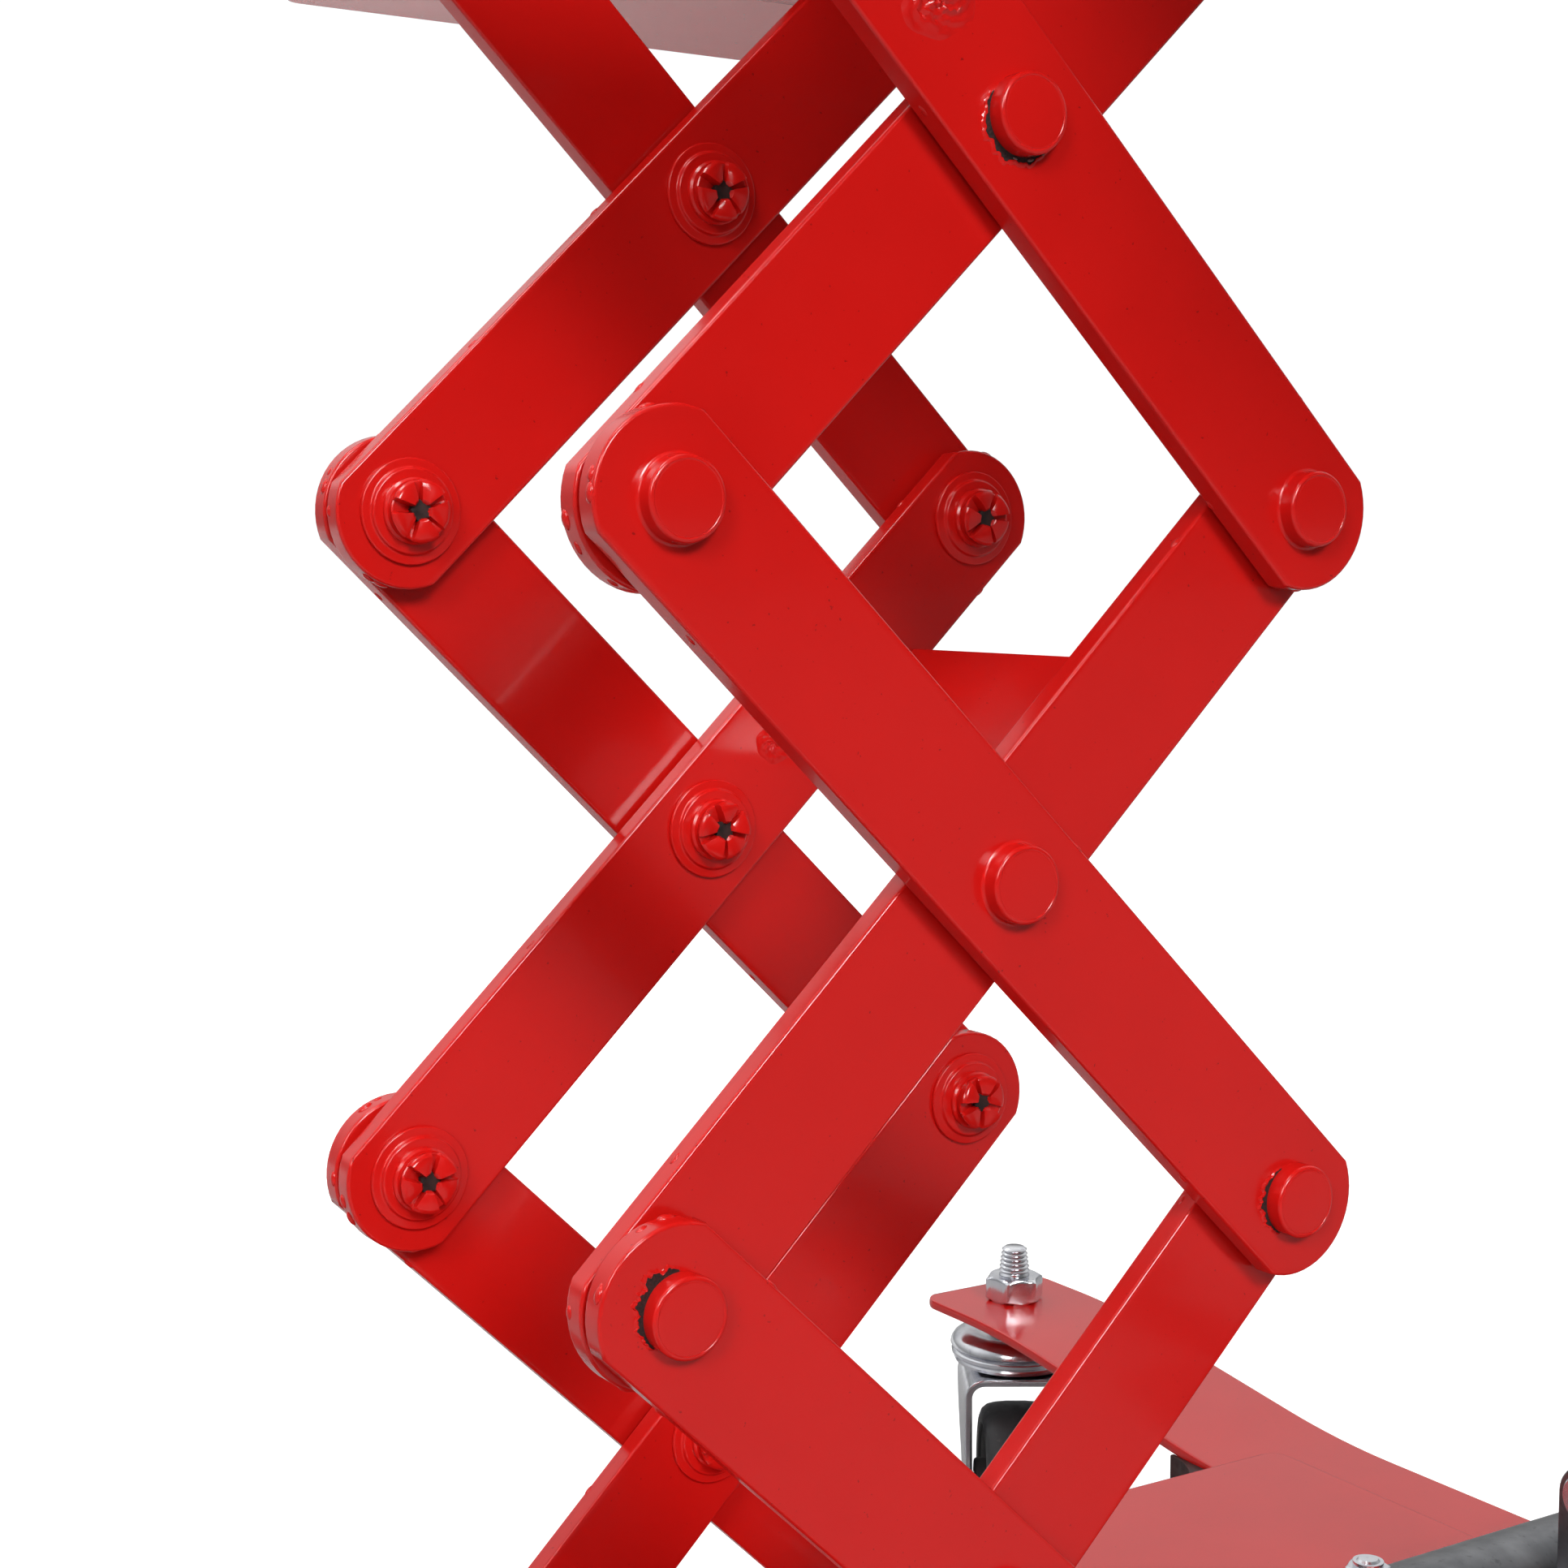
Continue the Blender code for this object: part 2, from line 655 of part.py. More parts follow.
def build_deck(model):
    model.pivot("deck", left(3), "upper_outer")
    edge = rounded_rectangle(DECK_HALF_X, DECK_HALF_Y, PLATE_CORNER_R)
    deck = plate([edge], PLATE_THICK)
    model.piece("deck_plate", "deck", "enamel", [(deck, move(DECK_X, 0, DECK_BOTTOM + PLATE_THICK / 2))])
    start, end = RAIL_X
    under = RAIL_TOP - RAIL_THICK
    rail_edge = [
        (RAIL_INNER_Y, RAIL_TOP),
        (RAIL_INNER_Y, under),
        (RAIL_WEB_Y, under),
        (RAIL_WEB_Y, LIP_TOP),
        (RAIL_LIP_Y, LIP_TOP),
        (RAIL_LIP_Y, LIP_TOP - RAIL_THICK),
        (RAIL_OUTER_Y, LIP_TOP - RAIL_THICK),
        (RAIL_OUTER_Y, RAIL_TOP),
    ]
    lug_points = [(x, z if z < PIVOT_TO_PLATE - 1 else PIVOT_TO_PLATE + 1.5) for x, z in lug_edge(up=True)]
    lug = plate([lug_points], BAR_THICK)
    for side in SIDES:
        rail = plate([[(side * y, z) for y, z in rail_edge]], end - start)
        place = move((start + end) / 2, 0, 0) @ FACE_X
        piece = model.piece("rail_" + SIDE_NAMES[side], "deck", "enamel", [(rail, place)])
        lug_place = move(LEFT_X, side * INNER_Y, DECK_PIVOT_Z) @ STAND
        model.boolean(piece, "UNION", [(lug, lug_place)])
        model.boolean(piece, "UNION", [(pin_mesh(), move(*left(3)) @ OUTWARDS[side])])
    roller = roller_mesh(TOP_ROLLER_Y)
    for side in SIDES:
        name = "top_roller_" + SIDE_NAMES[side]
        model.pivot(name, right(3), "upper_inner")
        model.piece(name, name, "steel", [(roller, move(*right(3)) @ OUTWARDS[side])])


def build_casters(model):
    corners = [(sx, sy) for sx in SIDES for sy in SIDES]
    stem = turned([
        (0, STEM_TOP),
        (STEM_R - 1, STEM_TOP),
        (STEM_R, STEM_TOP - 1.5),
        (STEM_R, TAB_TOP - PLATE_THICK - GAP),
        (STEM_SHOULDER_R, TAB_TOP - PLATE_THICK - GAP),
        (STEM_SHOULDER_R, RACE_CAP_TOP),
        (RACE_CAP_R, RACE_CAP_TOP),
        (RACE_R, UPPER_RACE_Z[1]),
        (RACE_R, UPPER_RACE_Z[0]),
        (KINGPIN_R, UPPER_RACE_Z[0]),
        (KINGPIN_R, KINGPIN_HEAD_Z[1]),
        (KINGPIN_HEAD_R, KINGPIN_HEAD_Z[1]),
        (KINGPIN_HEAD_R, KINGPIN_HEAD_Z[0]),
        (0, KINGPIN_HEAD_Z[0]),
    ])
    hexagon = circle((0, 0), NUT_FLATS / 2 / math.cos(math.radians(30)), 6)
    nut = plate([hexagon], NUT_HEIGHT)
    nut_z = TAB_TOP + GAP + NUT_HEIGHT / 2
    where = {corner: (corner[0] * CROSS_X, corner[1] * CASTER_Y) for corner in corners}
    fork, opening = fork_meshes()
    race = turned([
        (KINGPIN_HOLE_R, LOWER_RACE_Z[1]),
        (RACE_R, LOWER_RACE_Z[1]),
        (RACE_R, LOWER_RACE_Z[0] + 1),
        (RACE_CAP_R, LOWER_RACE_Z[0]),
        (KINGPIN_HOLE_R, LOWER_RACE_Z[0]),
    ])
    hole = turned([(0, 90), (KINGPIN_HOLE_R, 90), (KINGPIN_HOLE_R, 60), (0, 60)])
    for sx, sy in corners:
        name = SIDE_NAMES[sy] + "_" + ("right" if sx > 0 else "left")
        post = move(*where[(sx, sy)], 0)
        lean = math.radians(CASTER_TURN)
        heading = math.atan2(-sy * math.cos(lean), -sx * math.sin(lean))
        stem_piece = model.piece("caster_stem_" + name, "base", "zinc", [(stem, post)])
        model.boolean(stem_piece, "UNION", [(nut, move(*where[(sx, sy)], nut_z))])
        frame = post @ Matrix.Rotation(heading, 4, "Z")
        axle_frame = frame @ move(CASTER_TRAIL, 0, WHEEL_R)
        model.pivot("caster_" + name, (*where[(sx, sy)], 0), "base")
        model.pivot("wheel_" + name, axle_frame.translation, "caster_" + name)
        piece = model.piece("caster_fork_" + name, "caster_" + name, "zinc", [(fork, frame)])
        model.boolean(piece, "DIFFERENCE", [(opening, frame)])
        model.boolean(piece, "UNION", [(race, frame)])
        model.boolean(piece, "DIFFERENCE", [(hole, frame)])
        model.boolean(piece, "UNION", [(axle_mesh(), axle_frame @ OUTWARDS[1])])
        wheel_place = axle_frame @ OUTWARDS[1]
        model.piece("caster_wheel_" + name, "wheel_" + name, "tread", [(wheel_mesh(), wheel_place)])


def fork_meshes():
    """The fork's outline at its full width, and the wheel opening to cut from it."""
    low, high = FORK_CROWN_Z
    boss = arc((CASTER_TRAIL, WHEEL_R), FORK_EYE_R, 15, -195, 8)
    edge = [(FORK_BACK, high), (FORK_FRONT, high), *boss, (FORK_BACK, FORK_BACK_FOOT)]
    fork = plate([edge], 2 * FORK_OUTER)
    fork.transform(STAND)
    opening = block((-60, -FORK_INNER, -5), (80, FORK_INNER, low))
    return fork, opening


def axle_mesh():
    half = [
        (0, FORK_OUTER + AXLE_HEAD),
        (AXLE_HEAD_R, FORK_OUTER + AXLE_HEAD),
        (AXLE_HEAD_R, FORK_OUTER - 1),
        (AXLE_R, FORK_OUTER - 1),
    ]
    return turned(half + [(radius, -height) for radius, height in reversed(half)], 6)


def wheel_mesh():
    half = [
        (AXLE_HOLE_R, WHEEL_HUB_HALF),
        (WHEEL_HUB_R, WHEEL_HUB_HALF),
        (WHEEL_HUB_R + 3, WHEEL_HALF - 3),
        (WHEEL_R - 8, WHEEL_HALF),
        (WHEEL_R - WHEEL_BEVEL, WHEEL_HALF),
        (WHEEL_R, WHEEL_HALF - WHEEL_BEVEL),
    ]
    return turned(half + [(radius, -height) for radius, height in reversed(half)], WHEEL_STEPS)


def main():
    model = Model()
    build_base(model)
    build_cylinder(model)
    build_pump(model)
    build_scissors(model)
    build_crosshead(model)
    build_deck(model)
    build_casters(model)


main()
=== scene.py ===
import math

import bmesh
import bpy
from mathutils import Matrix, Vector
from mathutils.geometry import tessellate_polygon


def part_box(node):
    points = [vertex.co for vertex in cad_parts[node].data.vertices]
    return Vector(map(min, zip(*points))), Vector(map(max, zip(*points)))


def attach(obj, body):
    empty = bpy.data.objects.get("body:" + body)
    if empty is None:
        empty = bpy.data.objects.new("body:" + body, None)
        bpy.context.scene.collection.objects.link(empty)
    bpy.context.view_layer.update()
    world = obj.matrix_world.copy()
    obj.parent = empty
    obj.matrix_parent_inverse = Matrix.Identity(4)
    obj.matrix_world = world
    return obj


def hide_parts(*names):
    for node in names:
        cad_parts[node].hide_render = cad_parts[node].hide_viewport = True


# A three-stage scissor lift jack: two planes of crossed red bars on a wheeled base, with a
# flat deck above and a hydraulic foot pump below. Lengths are in millimetres, as in a drawing.

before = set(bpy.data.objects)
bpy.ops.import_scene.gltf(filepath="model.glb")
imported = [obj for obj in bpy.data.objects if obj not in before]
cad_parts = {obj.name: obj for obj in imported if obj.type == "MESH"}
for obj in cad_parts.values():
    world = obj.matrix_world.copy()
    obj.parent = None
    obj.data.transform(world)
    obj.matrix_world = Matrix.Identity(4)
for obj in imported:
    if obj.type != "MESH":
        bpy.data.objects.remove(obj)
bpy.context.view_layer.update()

MM = 0.001
NEAR_FAR = {"near": -1, "far": 1}


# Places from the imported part

def low(node):
    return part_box(node)[0] / MM


def high(node):
    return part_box(node)[1] / MM


def centre(node):
    return (low(node) + high(node)) / 2


def half(node):
    """Half a node's size."""
    return (high(node) - low(node)) / 2


def spot(*point):
    return Matrix.Translation(Vector(point) * MM)


def spin(degrees, axis):
    return Matrix.Rotation(math.radians(degrees), 4, axis)


STAND = spin(90, "X")                                 # local XY to XZ, local Z to -Y
OUTWARDS = {"near": spin(90, "X"), "far": spin(-90, "X")}
ALONG_X = spin(90, "Y")


# Outlines

def polar(radius, angle):
    """A point at a distance, at an angle in radians."""
    return radius * math.cos(angle), radius * math.sin(angle)


def arc(x, y, radius, start, end, steps=12):
    """Points of a round stretch between two angles in degrees, both ends included."""
    points = []
    for i in range(steps + 1):
        angle = math.radians(start + (end - start) * i / steps)
        points.append(Vector((x + radius * math.cos(angle), y + radius * math.sin(angle))))
    return points


def circle(x, y, radius, steps=40):
    return arc(x, y, radius, 0, 360 * (steps - 1) / steps, steps - 1)


def rounded_rectangle(half_x, half_y, radius, steps=5):
    points = []
    for start, sx, sy in ((0, 1, 1), (90, -1, 1), (180, -1, -1), (270, 1, -1)):
        points += arc(sx * (half_x - radius), sy * (half_y - radius), radius, start, start + 90, steps)
    return points


def fillet(points, radius, steps=3):
    """An open profile with its corners rounded."""
    points = [Vector(point) for point in points]
    rounded = [points[0]]
    for before, corner, after in zip(points, points[1:], points[2:]):
        back, ahead = before - corner, after - corner
        reach = min(radius, back.length * 0.45, ahead.length * 0.45)
        start = corner + back.normalized() * reach
        end = corner + ahead.normalized() * reach
        for i in range(steps + 1):
            t = i / steps
            rounded.append(start * (1 - t) ** 2 + corner * 2 * t * (1 - t) + end * t ** 2)
    return rounded + [points[-1]]


def mirrored(points):
    """Points turned over left to right, in reverse order, so an outline keeps its direction."""
    return [Vector((-x, y)) for x, y in reversed(points)]


def raised(profile, height):
    return [(radius, height + rise) for radius, rise in profile]


def both_ways(profile, middle=0.0):
    """Half a profile and its mirror image below a middle height."""
    return profile + [(radius, 2 * middle - height) for radius, height in reversed(profile)]


def inset(points, distance):
    """A closed outline moved to its left, which is inwards where it runs anticlockwise."""
    moved = []
    for i, here in enumerate(points):
        before = (here - points[i - 1]).normalized()
        after = (points[(i + 1) % len(points)] - here).normalized()
        left_before = Vector((-before.y, before.x))
        left_after = Vector((-after.y, after.x))
        spread = max(0.3, 1 + left_before.dot(left_after))
        moved.append(here + (left_before + left_after) * distance / spread)
    return moved


# Shapes: each is a list of points and a list of faces

def slab(outlines, bottom, top, edge=0.7, steps=3):
    """A flat piece with rounded edges; the first outline is its edge and the others are holes."""
    loops = [outlines[0]] + [list(reversed(hole)) for hole in outlines[1:]]
    loops = [[Vector(point) for point in loop] for loop in loops]
    turns = [math.radians(90 * i / steps) for i in range(steps + 1)]
    levels = [(edge * (1 - math.sin(t)), bottom + edge * (1 - math.cos(t))) for t in turns]
    levels += [(inwards, bottom + top - height) for inwards, height in reversed(levels)]
    verts, faces, caps = [], [], ([], [])
    for loop in loops:
        first = len(verts)
        count = len(loop)
        for inwards, height in levels:
            verts += [(*point, height) for point in inset(loop, inwards)]
        for level in range(len(levels) - 1):
            for i in range(count):
                a = first + level * count + i
                b = first + level * count + (i + 1) % count
                faces.append((a, b, b + count, a + count))
        caps[0].append(range(first, first + count))
        caps[1].append(range(first + (len(levels) - 1) * count, first + len(levels) * count))
    for cap in caps:
        order = [index for ring in cap for index in ring]
        rings = [[Vector((*verts[index][:2], 0)) for index in ring] for ring in cap]
        for face in tessellate_polygon(rings):
            faces.append(tuple(order[index] for index in face))
    return verts, faces


def lathe(profile, steps=48):
    """A round piece about Z from (radius, height) points; off the axis it closes into a ring."""
    verts, faces, rings = [], [], []
    for radius, height in profile:
        first = len(verts)
        if radius < 1e-6:
            verts.append((0, 0, height))
            rings.append([first] * steps)
            continue
        verts += [(*point, height) for point in circle(0, 0, radius, steps)]
        rings.append(list(range(first, first + steps)))
    pairs = list(zip(rings, rings[1:]))
    if profile[0][0] > 1e-6:
        pairs.append((rings[-1], rings[0]))
    for ring, after in pairs:
        for i in range(steps):
            j = (i + 1) % steps
            corners = (ring[i], ring[j], after[j], after[i])
            faces.append(tuple(dict.fromkeys(corners)))
    return verts, faces


def loft(rings, endless=False):
    """A skin through rings of equal length: both ends closed, or the last joined to the first."""
    rings = rings + rings[:1] if endless else rings
    count = len(rings[0])
    verts = [tuple(point) for ring in rings for point in ring]
    faces = []
    for level in range(len(rings) - 1):
        for i in range(count):
            a = level * count + i
            b = level * count + (i + 1) % count
            faces.append((a, b, b + count, a + count))
    if not endless:
        faces.append(tuple(range(count)))
        faces.append(tuple(range(len(verts) - count, len(verts))))
    return verts, faces


def strip_ring(middle, wide, thin, half_width, half_thick, edge=0.8):
    """A rounded rectangle across a bent sheet, between its width and thickness directions."""
    edge = min(edge, half_thick * 0.9, half_width * 0.9)
    outline = rounded_rectangle(half_width, half_thick, edge, 2)
    return [Vector(middle) + Vector(wide) * x + Vector(thin) * y for x, y in outline]


def moved(shape, place):
    """A shape in another place; the place is in metres, the shape stays in millimetres."""
    verts, faces = shape
    return [tuple(place @ (Vector(point) * MM) / MM) for point in verts], faces


def joined(*shapes):
    verts, faces = [], []
    for points, sides in shapes:
        first = len(verts)
        verts += points
        faces += [tuple(first + index for index in side) for side in sides]
    return verts, faces


def mesh_of(name, shape, finish, crease=42):
    verts, faces = shape
    mesh = bpy.data.meshes.new(name)
    mesh.from_pydata([Vector(point) * MM for point in verts], [], faces)
    work = bmesh.new()
    work.from_mesh(mesh)
    bmesh.ops.remove_doubles(work, verts=work.verts, dist=2e-6)
    bmesh.ops.dissolve_degenerate(work, edges=work.edges, dist=1e-6)
    bmesh.ops.recalc_face_normals(work, faces=work.faces)
    work.to_mesh(mesh)
    work.free()
    mesh.shade_smooth()
    mesh.set_sharp_from_angle(angle=math.radians(crease))
    mesh.materials.append(finish)
    return mesh


def map_range(nodes, links, source, start, end, first, last):
    """A source that goes from start to end, made to go from first to last."""
    ramp = nodes.new("ShaderNodeMapRange")
    limits = {"From Min": start, "From Max": end, "To Min": first, "To Max": last}
    for name, value in limits.items():
        ramp.inputs[name].default_value = value
    links.new(source, ramp.inputs["Value"])
    return ramp.outputs["Result"]


def add(name, mesh, body, place=Matrix.Identity(4), replaces=()):
    """Puts a piece in its place on a body, with clean shading on its flat faces."""
    obj = bpy.data.objects.new(name, mesh)
    bpy.context.scene.collection.objects.link(obj)
    obj.matrix_world = place
    shading = obj.modifiers.new("flat faces", "WEIGHTED_NORMAL")
    shading.keep_sharp = True
    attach(obj, body)
    if replaces:
        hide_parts(*replaces)
    return obj


def make(name, shape, finish, body, place=Matrix.Identity(4), replaces=()):
    mesh = mesh_of(name, shape, finish)
    mesh.transform(place)
    return add(name, mesh, body, replaces=replaces)


# Finishes, all procedural

MIX_A, MIX_B, MIX_RESULT = 6, 7, 2       # the Mix node's sockets for colours


class Finish:
    """A Principled material whose colour, roughness and relief come from noise nodes."""

    def __init__(self, name, slot):
        self.material = bpy.data.materials.new(name)
        self.material.use_nodes = True
        self.nodes = self.material.node_tree.nodes
        self.links = self.material.node_tree.links
        self.shader = self.nodes["Principled BSDF"]
        self.place = self.nodes.new("ShaderNodeTexCoord").outputs["Object"]
        self.normal = None

    def set(self, **values):
        for name, value in values.items():
            self.shader.inputs[name.replace("_", " ")].default_value = value
        return self

    def noise(self, size_mm, detail=3.0, stretch=(1, 1, 1)):
        """A noise between 0 and 1 with features of about a size."""
        mapping = self.nodes.new("ShaderNodeMapping")
        mapping.inputs["Scale"].default_value = stretch
        self.links.new(self.place, mapping.inputs["Vector"])
        noise = self.nodes.new("ShaderNodeTexNoise")
        noise.inputs["Scale"].default_value = 1 / (size_mm * MM)
        noise.inputs["Detail"].default_value = detail
        self.links.new(mapping.outputs["Vector"], noise.inputs["Vector"])
        return noise.outputs["Fac"]

    def spread(self, source, low, high, start=0.3, end=0.7):
        """A source stretched to run from low to high."""
        return map_range(self.nodes, self.links, source, start, end, low, high)

    def mix(self, source, colour, start, end):
        """Goes over to a colour where the source is high; gives the input for the other colour."""
        mix = self.nodes.new("ShaderNodeMix")
        mix.data_type = "RGBA"
        self.links.new(self.spread(source, 0, 1, start, end), mix.inputs["Factor"])
        mix.inputs[MIX_B].default_value = (*colour, 1)
        self.links.new(mix.outputs[MIX_RESULT], self.shader.inputs["Base Color"])
        return mix.inputs[MIX_A]

    def colours(self, source, first, second, start=0.3, end=0.7):
        self.mix(source, second, start, end).default_value = (*first, 1)
        return self

    def tint(self, source, colour, start, end):
        """Lays another colour over the present one where the source is high."""
        present = self.shader.inputs["Base Color"].links[0].from_socket
        self.links.new(present, self.mix(source, colour, start, end))
        return self

    def rough(self, source, low, high, start=0.3, end=0.7):
        self.links.new(self.spread(source, low, high, start, end), self.shader.inputs["Roughness"])
        return self

    def relief(self, source, height_mm):
        bump = self.nodes.new("ShaderNodeBump")
        bump.inputs["Strength"].default_value = 1.0
        bump.inputs["Distance"].default_value = height_mm * MM
        self.links.new(source, bump.inputs["Height"])
        if self.normal:
            self.links.new(self.normal, bump.inputs["Normal"])
        self.normal = bump.outputs["Normal"]
        self.links.new(self.normal, self.shader.inputs["Normal"])
        return self


def enamel_finish(name, lit, deep, peel=0.020):
    """Thick sprayed red enamel: orange peel, slow waves, a few specks of dust in the paint."""
    paint = Finish(name, "enamel")
    paint.colours(paint.noise(38, 3), lit, deep, 0.1, 0.9)
    paint.tint(paint.noise(1.1, 1), (0.30, 0.006, 0.005), 0.76, 0.80)
    paint.rough(paint.noise(24, 2), 0.14, 0.26, 0.0, 1.0)
    paint.relief(paint.noise(2.6, 2), peel)
    paint.relief(paint.noise(7, 1), peel * 1.2)
    return paint.set(Specular_IOR_Level=0.42, Coat_Weight=0.2, Coat_Roughness=0.06).material


enamel = enamel_finish("red_enamel", (0.600, 0.0085, 0.0065), (0.530, 0.0065, 0.005))
enamel_rough = enamel_finish("red_enamel_over_weld", (0.60, 0.009, 0.007), (0.48, 0.006, 0.005), 0.10)

# Near-black finish for the gaps in torn paint round pin heads: painted shade of the gap's depth.
torn = Finish("painted_crack_shade", "steel")
torn.colours(torn.noise(0.8, 4), (0.006, 0.004, 0.004), (0.030, 0.006, 0.005))
torn.rough(torn.noise(0.6, 3), 0.6, 0.95).relief(torn.noise(0.5, 4), 0.15)
torn = torn.material

bare = Finish("bare_steel", "steel")
bare.colours(bare.noise(1.2, 4), (0.40, 0.36, 0.34), (0.16, 0.11, 0.10))
bare.rough(bare.noise(0.8, 3), 0.25, 0.5).relief(bare.noise(0.6, 3), 0.05)
bare = bare.set(Metallic=1.0).material

zinc = Finish("zinc_plate", "zinc")
zinc.colours(zinc.noise(9, 4), (0.80, 0.81, 0.84), (0.64, 0.65, 0.70))
zinc.tint(zinc.noise(3.0, 3), (0.50, 0.48, 0.55), 0.62, 0.80)
zinc.rough(zinc.noise(5, 4), 0.15, 0.26).relief(zinc.noise(3, 3), 0.012)
zinc = zinc.set(Metallic=1.0).material

steel = Finish("machined_steel", "steel")
steel.colours(steel.noise(14, 4), (0.23, 0.235, 0.245), (0.15, 0.155, 0.165))
steel.tint(steel.noise(2.2, 3), (0.10, 0.10, 0.105), 0.60, 0.85)
steel.rough(steel.noise(7, 4), 0.28, 0.46)
steel.relief(steel.noise(0.5, 2, (0.2, 3, 3)), 0.01)
steel = steel.set(Metallic=1.0).material

chrome = Finish("hard_chrome", "chrome")
chrome.colours(chrome.noise(20, 2), (0.74, 0.75, 0.77), (0.66, 0.67, 0.69))
chrome.rough(chrome.noise(6, 3), 0.06, 0.13).relief(chrome.noise(0.6, 2, (0.15, 2, 2)), 0.003)
chrome = chrome.set(Metallic=1.0).material

tread = Finish("black_tyre", "tread")
tread.colours(tread.noise(8, 4), (0.012, 0.012, 0.013), (0.022, 0.022, 0.024))
tread.tint(tread.noise(2.5, 4), (0.055, 0.053, 0.050), 0.64, 0.85)
tread.rough(tread.noise(4, 4), 0.42, 0.62).relief(tread.noise(1.0, 3), 0.03)
tread = tread.set(Specular_IOR_Level=0.45).material

rubber = Finish("pad_rubber", "rubber")
rubber.colours(rubber.noise(10, 4), (0.016, 0.016, 0.016), (0.030, 0.030, 0.031))
rubber.tint(rubber.noise(2.0, 4), (0.075, 0.070, 0.064), 0.66, 0.86)
rubber.rough(rubber.noise(5, 4), 0.62, 0.85).relief(rubber.noise(0.8, 3), 0.05)
rubber = rubber.material

# Near-black finish that paints the shade deep inside holes: the split ends' middles and the pump's bore.
hole_shade = Finish("painted_hole_shade", "steel")
hole_shade.colours(hole_shade.noise(4, 3), (0.010, 0.008, 0.008), (0.030, 0.012, 0.010))
hole_shade.rough(hole_shade.noise(2, 3), 0.35, 0.7).relief(hole_shade.noise(1, 3), 0.05)
hole_shade = hole_shade.material

# A deep maroon enamel that paints the shade in the corners under the base plate.
shadow_enamel = Finish("shadowed_enamel", "enamel")
shadow_enamel.colours(shadow_enamel.noise(6, 3), (0.050, 0.004, 0.004), (0.022, 0.003, 0.003))
shadow_enamel.rough(shadow_enamel.noise(4, 2), 0.5, 0.7).relief(shadow_enamel.noise(3, 2), 0.08)
shadow_enamel = shadow_enamel.material


# The scissors

BAR_HALF_WIDTH = 16.0
BAR_HALF_THICK = 3.0
BAR_END_R = 17.6
BAR_HOLE_R = 6.4
PIN_R = 6.0
HEAD_R = 8.2
FILLET_R = 8.9           # paint drawn out from a head onto its bar
COLLAR_R = 7.6
WASHER_R = 12.1
WASHER_STEP_R = 9.7
DROP_SUNK = 0.25         # how far drops and runs of paint lie inside a bar's edge
RUN_SUNK = 0.15
HEAD_TOP = -low("mid_middle_pin_near").y
SPLIT_TIP = -high("mid_middle_pin_near").y
LAYER_Y = {
    "inner": high("mid_inner_bar_far").y - BAR_HALF_THICK,
    "outer": high("mid_outer_bar_far").y - BAR_HALF_THICK,
}
OUTER_FACE = LAYER_Y["outer"] + BAR_HALF_THICK
INNER_FACE = LAYER_Y["inner"] - BAR_HALF_THICK

LEFT = centre("mid_left_pin_near").x
MIDDLE = centre("mid_middle_pin_near").x
RIGHT = centre("mid_right_pin_near").x
STAGE = centre("mid_left_pin_near").z - centre("lower_left_pin_near").z
GROUND_LEVEL = centre("lower_left_pin_near").z - STAGE
HALF_BAR = math.hypot(MIDDLE - LEFT, STAGE / 2)
BAR_ANGLE = math.degrees(math.atan2(STAGE / 2, MIDDLE - LEFT))


def level(count):
    """Height of the end pivots, counted up from the base."""
    return GROUND_LEVEL + count * STAGE


def at_pivot(x, count, side):
    """A pivot's place, with local Z outwards from the middle of the jack."""
    return spot(x, 0, level(count)) @ OUTWARDS[side]


def sloping(count, lean=1):
    """A place in the middle plane with local X along a bar; an inner bar leans by 1, an outer by -1."""
    return spot(MIDDLE, 0, level(count)) @ spin(-lean * BAR_ANGLE, "Y")


def jagged(step, size):
    """A repeatable rough edge, from -size to size."""
    wave = math.sin(step * 2.39) + 0.7 * math.sin(step * 5.11 + 1.3) + 0.5 * math.sin(step * 11.3 + 0.4)
    return size * wave / 2.2


def bar_outline():
    lean = math.degrees(math.asin(BAR_HALF_WIDTH / BAR_END_R))
    right_end = arc(HALF_BAR, 0, BAR_END_R, -lean, lean, 20)
    return right_end + arc(-HALF_BAR, 0, BAR_END_R, 180 - lean, 180 + lean, 20)


def blob(x, y, z, long, wide, thick, heading=0.0):
    """A drop of paint: a low smooth mound, longer one way."""
    ball = lathe([(math.sin(t * math.pi / 10), math.cos(t * math.pi / 10)) for t in range(11)], 14)
    return moved(ball, spot(x, y, z) @ spin(heading, "Z") @ Matrix.Diagonal((long, wide, thick, 1)))


def paint_drops(seed):
    """Runs and drops of thick paint that hung from a bar's ends and edges as it dried."""
    drops = []
    for i in range(7):
        turn = math.sin(seed * 12.9 + i * 7.3)
        side = math.cos(seed * 3.1 + i * 2.7)
        angle = math.radians(180 + 44 * turn if side < 0 else 44 * turn)
        x, y = polar(BAR_END_R - DROP_SUNK, angle)
        size = 0.75 + 0.55 * abs(math.sin(seed + i))
        drops.append(blob(x + math.copysign(HALF_BAR, side), y, 1.7 * turn,
                          size * 0.7, size * 1.6, size * 0.9, math.degrees(angle)))
    for i in range(5):
        x = HALF_BAR * 0.9 * math.sin(seed * 5.7 + i * 2.1)
        edge = (BAR_HALF_WIDTH - RUN_SUNK) * (-1 if i % 2 else 1)
        drops.append(blob(x, edge, 2.2 * math.cos(seed + i), 1.5, 0.45, 0.7))
    return drops


